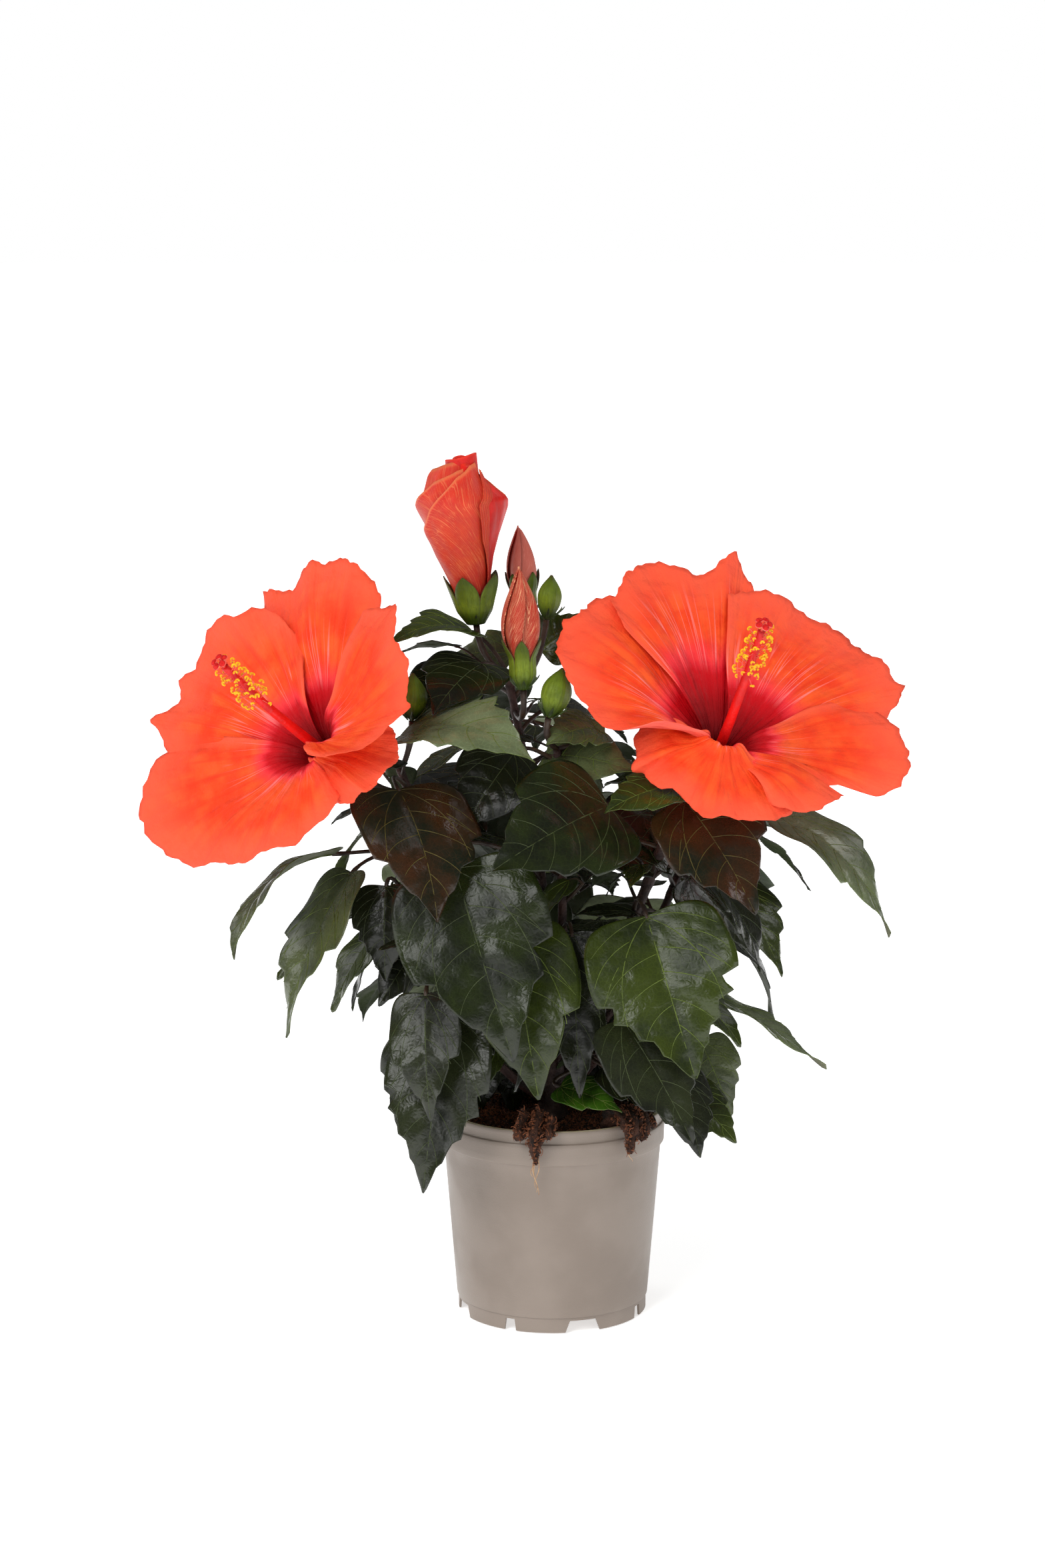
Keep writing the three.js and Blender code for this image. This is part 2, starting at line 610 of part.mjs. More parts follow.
function columnSolid(bloom) {
  const curve = columnCurve(bloom);
  const parts = [limb(curve, column.radius, 6, 4)];
  const spot = (t, turn, reach, size) => {
    const from = curve.getPoint(t);
    const along = curve.getTangent(t);
    const aside = ring(new THREE.Vector3(), along, 1, 1)[0].applyAxisAngle(along, radians(turn));
    const to = from.clone().addScaledVector(aside, 0.9 * reach).addScaledVector(along, 0.43 * reach);
    parts.push(limb(new THREE.LineCurve3(from, to), [0.5, 0.5], 3, 1));
    parts.push(solidOf(new THREE.OctahedronGeometry(size).translate(to.x, to.y, to.z)));
  };
  for (let i = 0; i < column.anthers; i += 1) {
    spot(1 - column.antherShare * (1 - i / column.anthers), 137.5 * i, column.antherReach, 1.2);
  }
  for (let i = 0; i < column.stigmas; i += 1) {
    spot(0.99, (360 / column.stigmas) * i, column.stigmaReach, 1.9);
  }
  return fuse(parts);
}

// A bloom's calyx: a cup round the foot of its tube, with five pointed sepals.
function bloomCalyx(bloom) {
  const { out } = bloom.frame;
  const seat = vec(bloom.throat).addScaledVector(out, -corolla.depth - calyx.below);
  const rows = [[0, calyx.foot], [0.22, calyx.mouth * 0.8], [0.6, calyx.mouth], [1, calyx.mouth * 1.1]];
  const round = ([share, radius]) => {
    const centre = seat.clone().addScaledVector(out, share * calyx.length);
    return ring(centre, out, radius, 2 * calyx.sepals)
      .map((p, i) => (i % 2 && share === 1 ? p.addScaledVector(out, -0.4 * calyx.length) : p));
  };
  const inner = rows.slice(1).toReversed().map(([share, radius]) => round([share, radius - calyx.wall]));
  return loft([...rows.map(round), ...inner, [seat.clone().addScaledVector(out, calyx.floor)]]);
}

// The radius of a bud at share h of its height.
function budRadius(bud, h) {
  const swell = h < bud.fullest
    ? Math.sin((Math.PI / 2) * (h / bud.fullest)) ** bud.base
    : Math.max(bud.mouth ?? 0, Math.cos((Math.PI / 2) * ((h - bud.fullest) / (1 - bud.fullest))) ** bud.top);
  return Math.max(0.4, bud.girth * swell);
}

// A furled bud from share `from` of its height up, its ridges winding a little as they rise.
function budBody(bud, from) {
  const seat = vec(bud.seat);
  const axis = vec(bud.tip).sub(seat);
  const along = axis.clone().normalize();
  const rings = Array.from({ length: bud.rows + 1 }, (_, i) => {
    const h = from + ((1 - from) * i) / bud.rows;
    const radius = budRadius(bud, THREE.MathUtils.clamp(h, 0.04, 0.985));
    const ridged = (a) => 1 + bud.ridge * Math.cos(5 * a - 5 * bud.twist * h);
    return ring(seat.clone().addScaledVector(axis, h), along, radius, bud.sides, ridged);
  });
  if (bud.mouth) { // its petals' tips stand open round a hollow
    const dip = seat.clone().addScaledVector(axis, 0.86);
    rings.push(ring(dip, along, bud.girth * bud.mouth * 0.6, bud.sides));
  }
  return loft(rings);
}

// A bud's calyx: a cup that stands a little clear of the bud it holds, with its sepals' points up
// the sides.
function budCalyx(bud) {
  const seat = vec(bud.seat);
  const axis = vec(bud.tip).sub(seat);
  const along = axis.clone().normalize();
  const sides = 2 * calyx.sepals;
  const flats = 1 / Math.cos(Math.PI / sides);
  const inside = (h) => flats * (budRadius(bud, h) * (1 + bud.ridge) + 3 * CLEARANCE);
  const round = (h, radius) => ring(seat.clone().addScaledVector(axis, h), along, radius, sides)
    .map((p, i) => (i % 2 && h === bud.cup ? p.addScaledVector(axis, -0.35 * bud.cup) : p));
  const floor = bud.seatShare - CLEARANCE / axis.length();
  const heights = [0.4, 0.7, 1].map((share) => THREE.MathUtils.lerp(floor, bud.cup, share));
  return loft([
    round(0, calyx.foot), round(floor, inside(floor) + calyx.wall),
    ...heights.map((h) => round(h, inside(h) + calyx.wall)),
    ...heights.toReversed().map((h) => round(h, inside(h))),
    round(floor, inside(floor)),
  ]);
}

// Pot, soil and limbs

function lathe(profile, sides) {
  const points = profile.map(([radius, z]) => new THREE.Vector2(radius, z));
  const geometry = new THREE.LatheGeometry(points, sides);
  geometry.rotateX(Math.PI / 2);
  const solid = solidOf(geometry);
  if (solid.volume() > 0) return solid;
  return lathe(profile.toReversed(), sides);
}

// A thin moulded shell on a foot ring and a central pad, with a collar under its lip.
function potSolid() {
  const p = pot;
  const collarTop = p.height - p.lipHeight;
  const collarFoot = collarTop - p.collarHeight;
  const shell = lathe([
    [0, 0], [p.padRadius, 0], [p.padRadius, p.floorHeight - p.wall],
    [p.footRadius - p.wall, p.floorHeight - p.wall], [p.footRadius - p.wall, 0], [p.footRadius, 0],
    [p.footRadius, p.seamHeight], [p.seamRadius, p.seamHeight + 0.5],
    [p.wallTopRadius, collarFoot - 0.6], [p.topRadius - 0.4, collarFoot], [p.topRadius, collarTop - 0.6],
    [p.lipRadius, collarTop], [p.lipRadius + 0.5, p.height - 1], [p.lipRadius, p.height],
    [p.lipRadius - 2, p.height], [p.innerTopRadius, collarTop], [p.seamRadius - p.wall, p.floorHeight + 1],
    [p.seamRadius - p.wall - 2, p.floorHeight], [0, p.floorHeight],
  ], p.sides);
  const gaps = [];
  for (let i = 0; i < footGaps.count; i += 1) {
    const width = i % 2 ? footGaps.narrow : footGaps.wide;
    const outline = new THREE.Shape([
      new THREE.Vector2(-width / 2, -1), new THREE.Vector2(width / 2, -1),
      new THREE.Vector2(width * 0.36, footGaps.depth), new THREE.Vector2(-width * 0.36, footGaps.depth),
    ]);
    const gap = new THREE.ExtrudeGeometry(outline, { depth: 8, bevelEnabled: false });
    gap.rotateX(Math.PI / 2);
    gap.translate(0, -p.footRadius + 6, 0);
    gap.rotateZ(radians(footGaps.first + (360 / footGaps.count) * i));
    gaps.push(solidOf(gap));
  }
  return shell.subtract(fuse(gaps));
}

// The height of the soil's rough top.
function soilHeight(radius, angle) {
  const rough = THREE.MathUtils.smoothstep(radius, soil.flat, soil.flat + 12);
  const waves = Math.sin(3 * angle + radius / 7) + 0.6 * Math.sin(7 * angle - radius / 5);
  return soil.level + rough * soil.grain * waves;
}

function rootBallSolid() {
  const gap = pot.wall + CLEARANCE;
  const foot = pot.floorHeight + CLEARANCE;
  const wallAt = (z) => THREE.MathUtils.mapLinear(
    z, pot.floorHeight, pot.height, pot.seamRadius, pot.innerTopRadius + pot.wall);
  const turns = Array.from({ length: soil.sides }, (_, i) => (2 * Math.PI * i) / soil.sides);
  const round = (radius, height) => turns.map((a) => new THREE.Vector3(
    radius * Math.cos(a), radius * Math.sin(a), height === null ? soilHeight(radius, a) : height));
  const body = loft([
    round(pot.seamRadius - gap - 2.6, foot), round(wallAt(foot + 3) - gap - 0.5, foot + 3),
    round(wallAt(soil.level - 6) - gap - 0.5, soil.level - 6), round(wallAt(soil.level) - gap - 1.5, null),
    round(40, null), round(26, null), round(soil.flat, null),
  ]);
  const hung = clumps.map(({ heading: turn, girth, hang }) => {
    const out = heading(turn, 0);
    const line = [ // out of the soil, over the lip and down outside the wall
      [46, soil.level - 3], [55, pot.height + girth + 1],
      [pot.topRadius + girth + 2, pot.height + 1], [pot.topRadius + girth + 1, pot.height - hang],
    ].map(([r, z]) => out.clone().multiplyScalar(r).setZ(z));
    return limb(new THREE.CatmullRomCurve3(line), [girth * 1.1, girth * 0.7], 6, 6);
  });
  return fuse([body, ...hung]).subtract(potCutter());
}

// The room that the pot's upper wall takes, with its clearance.
function potCutter() {
  const gap = CLEARANCE;
  const collarFoot = pot.height - pot.lipHeight - pot.collarHeight;
  return lathe([
    [pot.innerTopRadius - gap - 0.6, collarFoot - 20], [pot.topRadius + gap, collarFoot - 20],
    [pot.topRadius + gap, pot.height - pot.lipHeight + gap], [pot.lipRadius + 0.5 + gap, pot.height + gap],
    [pot.lipRadius - 2 - gap, pot.height + gap], [pot.innerTopRadius - gap, pot.height - pot.lipHeight],
    [pot.innerTopRadius - gap - 0.6, collarFoot - 20],
  ], pot.sides);
}

function trunkCurve() {
  return new THREE.LineCurve3(vec(trunk.foot), vec(trunk.top));
}

// The trunk, or with `grown` above nought the room that it takes from the boughs that meet it.
function trunkSolid(grown = 0) {
  const curve = trunkCurve();
  const along = curve.getTangent(0);
  return loft(trunk.shares.map((share, i) => {
    const past = { 0: -grown, 1: grown }[share] ?? 0;
    const flare = share < 0.2 ? trunk.rootFlare : trunk.stemFlare;
    const centre = curve.getPoint(share).addScaledVector(along, past);
    return ring(centre, along, trunk.radii[i] + grown, trunk.sides, (a) => 1 + flare * Math.cos(3 * a + 1));
  }));
}

function boughSolid(name) {
  const s = shoots[name];
  return limb(shootCurve(s), s.radius, 7, 4, 0, s.bare).subtract(trunkSolid(CLEARANCE));
}

// A flower stalk from its shoot, ending just under the calyx.
function pedicelCurve(shootName, at, seat, axis) {
  const root = shootCurve(shoots[shootName]).getPoint(at);
  const end = seat.clone().addScaledVector(axis, -CLEARANCE);
  const bow = end.clone().addScaledVector(axis, -0.55 * root.distanceTo(end));
  return new THREE.QuadraticBezierCurve3(root, bow, end);
}

function pedicels() {
  const all = [];
  for (const bloom of Object.values(blooms)) {
    const seat = vec(bloom.throat).addScaledVector(bloom.frame.out, -corolla.depth - calyx.below);
    all.push({ shoot: bloom.shoot, curve: pedicelCurve(bloom.shoot, bloom.at, seat, bloom.frame.out) });
  }
  for (const bud of Object.values(buds)) {
    const axis = vec(bud.tip).sub(vec(bud.seat)).normalize();
    all.push({ shoot: bud.shoot, curve: pedicelCurve(bud.shoot, bud.at, vec(bud.seat), axis) });
  }
  return all;
}

// One mass of leaves: its stem, which meets its bough 0.3 mm clear, with its leaves and stalks.
function foliageSolid(name, leaves, stalks) {
  const s = shoots[name];
  const curve = shootCurve(s);
  const gap = CLEARANCE / curve.getLength();
  const parts = [limb(curve, s.radius, 6, 4, s.bare + gap, 1)];
  for (const leaf of leaves) {
    parts.push(limb(stalkCurve(leaf), [stalkRadius * 1.2, stalkRadius * 0.9], 3, 2), bladeSolid(leaf));
  }
  for (const stalk of stalks) parts.push(limb(stalk.curve, [twigRadius, twigRadius * 1.3], 5, 2));
  return fuse(parts);
}

// The whole plant

const alongCurve = (curve, from, steps) => (
  Array.from({ length: steps + 1 }, (_, i) => curve.getPoint(from + ((1 - from) * i) / steps)));

// What a growing leaf has to keep clear of before any has grown.
function placesTaken(leaves, stalks) {
  const taken = [];
  const take = (owner, points) => points.forEach((point) => taken.push({ point, owner }));
  for (const [name, s] of Object.entries(shoots)) take(name, alongCurve(shootCurve(s), 0, 24));
  for (const stalk of stalks) take(stalk.shoot, alongCurve(stalk.curve, 0, 6));
  for (const bloom of Object.values(blooms)) {
    for (const t of [0.3, 0.5, 0.7, 0.85, 1]) take('', bloomTurns.map((a) => corollaPoint(bloom, a, t)));
    take('', alongCurve(columnCurve(bloom), 0.3, 10));
  }
  for (const bud of Object.values(buds)) {
    const axis = vec(bud.tip).sub(vec(bud.seat));
    for (let h = 0; h <= 1; h += 0.125) {
      take('', ring(vec(bud.seat).addScaledVector(axis, h), axis.clone().normalize(), budRadius(bud, h), 8));
    }
  }
  for (const [name, grown] of Object.entries(leaves)) {
    for (const leaf of grown) take(name, [...leafDots(leaf), ...alongCurve(stalkCurve(leaf), 0.2, 5)]);
  }
  return taken;
}

function plantLeaves(stalks) {
  const leaves = {};
  for (const name of Object.keys(shoots)) {
    leaves[name] = (frontLeaves[name] ?? []).map((spec) => makeLeaf(shootCurve(shoots[name]), spec));
  }
  const taken = placesTaken(leaves, stalks);
  for (const name of Object.keys(shoots)) leaves[name].push(...growLeaves(name, taken));
  return leaves;
}

const bark = finish(colours.bark, 0.7);
const leafGreen = finish(colours.leaf, 0.4);
const petalRed = finish(colours.petal, 0.5);
const sepalGreen = finish(colours.calyx, 0.5);

const plant = new THREE.Group();
const nodeName = (kind, name) => `${kind}_${name.replace(/[A-Z]/g, (c) => `_${c.toLowerCase()}`)}`;

for (const bloom of Object.values(blooms)) bloom.frame = bloomAxes(bloom);
plant.add(meshOf('pot', potSolid(), finish(colours.pot, 0.5)));
plant.add(meshOf('root_ball', rootBallSolid(), finish(colours.soil, 0.95)));
plant.add(meshOf('trunk', trunkSolid(), bark));

const stalks = pedicels();
const leaves = plantLeaves(stalks);
for (const name of Object.keys(shoots)) {
  plant.add(meshOf(nodeName('bough', name), boughSolid(name), bark));
  const own = stalks.filter((stalk) => stalk.shoot === name);
  plant.add(meshOf(nodeName('foliage', name), foliageSolid(name, leaves[name], own), leafGreen));
}
for (const [name, bloom] of Object.entries(blooms)) {
  plant.add(meshOf(`petals_${name}`, corollaSolid(bloom), petalRed));
  plant.add(meshOf(`column_${name}`, columnSolid(bloom), finish(colours.column, 0.5)));
  plant.add(meshOf(`calyx_${name}`, bloomCalyx(bloom), sepalGreen));
}
for (const [name, bud] of Object.entries(buds)) {
  if (bud.cup) {
    plant.add(meshOf(`bud_${name}`, budBody(bud, bud.seatShare), finish(colours.bud, 0.5)));
    plant.add(meshOf(`calyx_${name}`, budCalyx(bud), sepalGreen));
  } else {
    plant.add(meshOf(`bud_${name}`, budBody(bud, 0), sepalGreen));
  }
}

export default plant;
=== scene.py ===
# A potted hibiscus shrub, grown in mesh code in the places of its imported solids.
# Sizes are in millimetres until a mesh is made of them. The plant faces -Y and stands on Z = 0.
import math

import bpy
import numpy as np
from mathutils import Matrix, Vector


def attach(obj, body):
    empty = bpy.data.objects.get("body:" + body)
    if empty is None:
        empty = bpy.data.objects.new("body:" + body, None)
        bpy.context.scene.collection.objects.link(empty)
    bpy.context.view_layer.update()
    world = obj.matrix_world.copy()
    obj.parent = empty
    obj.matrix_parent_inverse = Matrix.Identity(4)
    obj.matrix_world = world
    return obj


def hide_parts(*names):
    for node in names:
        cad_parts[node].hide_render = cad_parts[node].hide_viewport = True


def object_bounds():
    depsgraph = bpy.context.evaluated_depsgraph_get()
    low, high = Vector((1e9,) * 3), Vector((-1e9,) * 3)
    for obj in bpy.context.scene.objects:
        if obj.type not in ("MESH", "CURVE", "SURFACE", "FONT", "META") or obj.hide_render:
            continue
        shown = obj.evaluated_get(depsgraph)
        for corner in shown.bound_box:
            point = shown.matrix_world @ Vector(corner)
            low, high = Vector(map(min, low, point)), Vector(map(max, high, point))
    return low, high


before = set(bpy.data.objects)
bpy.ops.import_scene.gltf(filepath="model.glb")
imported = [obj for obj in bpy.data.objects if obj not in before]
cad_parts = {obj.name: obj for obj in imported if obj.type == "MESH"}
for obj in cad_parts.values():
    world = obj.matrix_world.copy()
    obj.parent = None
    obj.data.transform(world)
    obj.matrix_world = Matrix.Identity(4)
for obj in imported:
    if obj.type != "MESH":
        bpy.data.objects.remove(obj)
cadBox = [list(corner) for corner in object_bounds()]
mm = 0.001
clearance = 0.3  # between pieces that touch


# Small tools

def randomFrom(seed):  # the plant's own dice: the same seed always grows the same plant
    state = seed
    while True:
        state = state * 16807 % 2147483647
        yield state / 2147483647


def vec(*numbers):
    return np.array(numbers, float)


def unit(v):
    return v / np.linalg.norm(v, axis=-1, keepdims=True)


def heading(az, rise):
    a, e = math.radians(az), math.radians(rise)
    return vec(math.cos(a) * math.cos(e), math.sin(a) * math.cos(e), math.sin(e))


def smooth(x, low, high):
    t = np.clip((x - low) / (high - low), 0, 1)
    return t * t * (3 - 2 * t)


def hump(x, middle, reach):  # a soft bump of 1 at its middle
    return np.exp(-((x - middle) / reach) ** 2)


def mix(a, b, t):
    return a + (b - a) * t


def bezier(a, b, c, t):
    t = np.asarray(t, float)[..., None]
    return a * (1 - t) ** 2 + b * 2 * t * (1 - t) + c * t * t


def turned(v, axis, angle):  # v turned about a unit axis, in radians
    c, s = math.cos(angle), math.sin(angle)
    return v * c + np.cross(axis, v) * s + axis * np.dot(axis, v) * (1 - c)


def rough(points, size, seed=0.0):  # smooth noise of about -1 to 1 over points, with bumps about size across
    q = np.asarray(points, float) / size
    total = 0.0
    for octave in range(3):
        f = 2.3 * 1.9 ** octave
        k = seed * 1.7 + octave * 2.1
        x = f * q[..., 0] + 1.4 * np.sin(f * 0.7 * q[..., 1] + k)
        y = f * q[..., 1] + 1.4 * np.sin(f * 0.7 * q[..., 2] + 2 * k)
        z = f * q[..., 2] + 1.4 * np.sin(f * 0.7 * q[..., 0] + 3 * k)
        total = total + (np.sin(x + k) + np.sin(y - k) + np.sin(z + 2 * k)) / (3 * 1.8 ** octave)
    return total


def shown(name, data):  # a new object of the scene
    made = bpy.data.objects.new(name, data)
    bpy.context.scene.collection.objects.link(made)
    return made


class Skin:  # gathers the points and faces of one piece before they become its mesh
    def __init__(self):
        self.points, self.uvs, self.stains, self.count = [], [], [], 0
        self.faces = {3: [], 4: []}
        self.finishes = {3: [], 4: []}

    def add(self, points, quads=(), tris=(), uv=None, finish=0, stain=1.0):
        points = np.asarray(points, float).reshape(-1, 3)
        for faces, corners in ((quads, 4), (tris, 3)):
            faces = np.asarray(faces, int).reshape(-1, corners)
            self.faces[corners].append(faces + self.count)
            self.finishes[corners].append(np.broadcast_to(finish if len(faces) else 0, len(faces)))
        self.points.append(points)
        self.uvs.append(np.zeros((len(points), 2)) if uv is None else np.reshape(uv, (-1, 2)))
        self.stains.append(np.full(len(points), stain))
        self.count += len(points)
        return self

    def piece(self, name, materials, sharp=None):
        faces = {corners: np.concatenate(self.faces[corners]) for corners in (4, 3)}
        loops = np.concatenate([faces[4].ravel(), faces[3].ravel()]).astype(np.int32)
        sizes = np.concatenate([np.full(len(faces[4]), 4), np.full(len(faces[3]), 3)])
        mesh = bpy.data.meshes.new(name)
        mesh.vertices.add(self.count)
        mesh.vertices.foreach_set("co", (np.concatenate(self.points) * mm).astype(np.float32).ravel())
        mesh.loops.add(len(loops))
        mesh.loops.foreach_set("vertex_index", loops)
        mesh.polygons.add(len(sizes))
        mesh.polygons.foreach_set("loop_start", np.concatenate([[0], np.cumsum(sizes)[:-1]]).astype(np.int32))
        finish = np.concatenate([*self.finishes[4], *self.finishes[3]]).astype(np.int32)
        mesh.polygons.foreach_set("material_index", finish)
        mesh.update(calc_edges=True)
        layer = mesh.uv_layers.new(name="UVMap")
        layer.data.foreach_set("uv", np.concatenate(self.uvs)[loops].astype(np.float32).ravel())
        stains = np.concatenate(self.stains)
        if np.ptp(stains):
            layer = mesh.attributes.new("stain", "FLOAT", "POINT")
            layer.data.foreach_set("value", stains.astype(np.float32))
        mesh.shade_smooth()
        if sharp:
            mesh.set_sharp_from_angle(angle=math.radians(sharp))
        for material in materials:
            mesh.materials.append(material)
        return shown(name, mesh)


def place(piece, slot, *nodes):  # every piece rides on the one body and stands for its solids
    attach(piece, "root")
    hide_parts(*nodes)
    return piece


def closed(rings, foot, top):  # the skin between rings of points, shut by a fan to a point at each end
    count, sides = rings.shape[:2]
    j = np.arange(sides)
    k = (j + 1) % sides
    i = np.arange(count - 1)[:, None] * sides
    quads = np.stack([i + j, i + k, i + sides + k, i + sides + j], -1).reshape(-1, 4)
    low, high, last = count * sides, count * sides + 1, (count - 1) * sides
    fans = [np.stack([np.full(sides, low), k, j], -1),
        np.stack([np.full(sides, high), last + j, last + k], -1)]
    return np.concatenate([rings.reshape(-1, 3), [foot, top]]), quads, np.concatenate(fans)


def ringTurns(sides):
    return np.arange(sides) * 2 * np.pi / sides


def around(radius, angle, high=0.0):  # points about the upright axis
    x, y, z = np.broadcast_arrays(radius * np.cos(angle), radius * np.sin(angle), high)
    return np.stack([x, y, z], -1)


def tube(points, radii, sides=8, shape=1.0):  # a closed skin round a line of points
    points = np.asarray(points, float)
    count = len(points)
    along = unit(np.gradient(points, axis=0))
    u = unit(np.cross(along[0], vec(0, 1, 0) if abs(along[0][1]) < 0.9 else vec(1, 0, 0)))
    us = [u]
    for i in range(1, count):
        us.append(unit(us[-1] - along[i] * np.dot(us[-1], along[i])))
    us = np.array(us)
    ws = np.cross(along, us)
    turns = ringTurns(sides)
    reach = (np.broadcast_to(np.asarray(radii, float), count)[:, None] * shape * np.ones(sides))[..., None]
    across = us[:, None] * np.cos(turns)[:, None] + ws[:, None] * np.sin(turns)[:, None]
    return closed(points[:, None] + across * reach, points[0], points[-1])


def sheet(grid, thick):
    # a thin closed skin on both sides of a grid of points, its first side along rows x columns
    rows, columns = grid.shape[:2]
    normal = unit(np.cross(np.gradient(grid, axis=0), np.gradient(grid, axis=1)) + 1e-12)
    half = normal * np.asarray(thick, float)[..., None] / 2
    points = np.concatenate([(grid + half).reshape(-1, 3), (grid - half).reshape(-1, 3)])
    under = rows * columns
    at = np.arange(under).reshape(rows, columns)
    upper = np.stack([at[:-1, :-1], at[1:, :-1], at[1:, 1:], at[:-1, 1:]], -1).reshape(-1, 4)
    edge = np.concatenate([at[:-1, 0], at[-1, :-1], at[:0:-1, -1], at[0, :0:-1]])
    after = np.roll(edge, -1)
    rim = np.stack([after, edge, edge + under, after + under], -1)
    return points, upper, upper[:, ::-1] + under, rim


def addSheet(skin, grid, thick, uv=None, finishes=(0, 0, 0), stain=1.0):
    # finishes of its upper side, underside and rim
    points, upper, lower, rim = sheet(grid, thick)
    both = None if uv is None else np.concatenate([uv.reshape(-1, 2)] * 2)
    faces = np.concatenate([upper, lower, rim])
    finish = np.repeat(finishes, [len(upper), len(lower), len(rim)])
    skin.add(points, faces, uv=both, finish=finish, stain=stain)


# Materials

def rgb(*seen):  # a colour as seen on a screen, its red, green and blue from 0 to 255, made linear
    return tuple(c / 255 / 12.92 if c < 11 else ((c / 255 + 0.055) / 1.055) ** 2.4 for c in seen) + (1.0,)


def node(tree, kind, inputs=None, **settings):
    made = tree.nodes.new(kind)
    for key, value in settings.items():
        setattr(made, key, value)
    for name, value in (inputs or {}).items():
        if isinstance(value, bpy.types.NodeSocket):
            tree.links.new(value, made.inputs[name])
        else:
            made.inputs[name].default_value = value
    return made


def ramp(tree, factor, *stops):  # stops are (place, colour)
    made = node(tree, "ShaderNodeValToRGB", {"Fac": factor})
    elements = made.color_ramp.elements
    for i, (where, colour) in enumerate(stops):
        element = elements[i] if i < 2 else elements.new(where)
        element.position = where
        element.color = colour
    return made.outputs["Color"]


def blend(tree, factor, a, b, kind="MIX"):
    made = node(tree, "ShaderNodeMix", data_type="RGBA", blend_type=kind)
    for socket, value in ((made.inputs[0], factor), (made.inputs[6], a), (made.inputs[7], b)):
        if isinstance(value, bpy.types.NodeSocket):
            tree.links.new(value, socket)
        else:
            socket.default_value = value
    return made.outputs[2]


def sums(tree, kind, a, b=0.0, c=0.0):
    return node(tree, "ShaderNodeMath", {0: a, 1: b, 2: c}, operation=kind).outputs[0]


def times(tree, a, b):
    return sums(tree, "MULTIPLY", a, b)


def fromMiddle(tree, value):  # how far a share lies from a half
    return sums(tree, "ABSOLUTE", sums(tree, "SUBTRACT", value, 0.5))


def between(tree, value, low, high, toLow=0.0, toHigh=1.0, kind="SMOOTHSTEP"):
    return node(tree, "ShaderNodeMapRange", {
        "Value": value, "From Min": low, "From Max": high, "To Min": toLow, "To Max": toHigh},
        interpolation_type=kind).outputs[0]


def noise(tree, where, scale, detail=2.0):
    return node(tree, "ShaderNodeTexNoise", {"Vector": where, "Scale": scale, "Detail": detail}).outputs


def vectors(tree, kind, inputs):
    return node(tree, "ShaderNodeVectorMath", inputs, operation=kind).outputs[0]


def apart(tree, vector):
    return node(tree, "ShaderNodeSeparateXYZ", {0: vector}).outputs


def joined(tree, x=0.0, y=0.0, z=0.0):
    return node(tree, "ShaderNodeCombineXYZ", {"X": x, "Y": y, "Z": z}).outputs[0]


def bump(tree, height, depth, strength=1.0, over=None):  # a relief, laid over another where there is one
    made = node(tree, "ShaderNodeBump", {"Height": height, "Distance": depth, "Strength": strength})
    if over:
        tree.links.new(over, made.inputs["Normal"])
    return made.outputs[0]


def feed(tree, shader, **sources):  # links what makes each of a shader's inputs
    for name, source in sources.items():
        tree.links.new(source, shader.inputs[name.replace("_", " ")])


def newGroup(name, inputs, outputs):  # a shader group and its two ends
    tree = bpy.data.node_groups.new(name, "ShaderNodeTree")
    for label, kind, value in inputs:
        socket = tree.interface.new_socket(label, in_out="INPUT", socket_type="NodeSocket" + kind)
        if value is not None:
            socket.default_value = value
    for label, kind in outputs:
        tree.interface.new_socket(label, in_out="OUTPUT", socket_type="NodeSocket" + kind)
    return tree, tree.nodes.new("NodeGroupInput").outputs, tree.nodes.new("NodeGroupOutput").inputs


def softPatchesGroup():  # slow drifts between a colour and its shade
    tree, given, out = newGroup("softPatches", [
        ("Vector", "Vector", None), ("Colour", "Color", (1, 1, 1, 1)), ("Shade", "Color", (0, 0, 0, 1)),
        ("Scale", "Float", 60.0), ("Amount", "Float", 1.0)], [("Colour", "Color"), ("Mask", "Float")])
    wide = noise(tree, given["Vector"], given["Scale"], 3.0)["Fac"]
    mask = times(tree, between(tree, wide, 0.35, 0.68), given["Amount"])
    tree.links.new(blend(tree, mask, given["Colour"], given["Shade"]), out["Colour"])
    tree.links.new(mask, out["Mask"])
    return tree


def crackleGroup():  # the net of fine veins, or of pores: a height that dips at its lines
    tree, given, out = newGroup("crackle", [
        ("Vector", "Vector", None), ("Scale", "Float", 400.0), ("Width", "Float", 0.12),
        ("Drift", "Float", 0.002)],
        [("Height", "Float"), ("Lines", "Float")])
    drift = vectors(tree, "SUBTRACT", {0: noise(tree, given["Vector"], 180.0)["Color"], 1: (0.5, 0.5, 0.5)})
    scaled = vectors(tree, "SCALE", {0: drift, "Scale": given["Drift"]})
    where = vectors(tree, "ADD", {0: given["Vector"], 1: scaled})
    cells = node(tree, "ShaderNodeTexVoronoi", {"Vector": where, "Scale": given["Scale"]},
        feature="DISTANCE_TO_EDGE")
    height = between(tree, cells.outputs["Distance"], 0.0, given["Width"], kind="LINEAR")
    tree.links.new(height, out["Height"])
    tree.links.new(sums(tree, "SUBTRACT", 1.0, height), out["Lines"])
    return tree


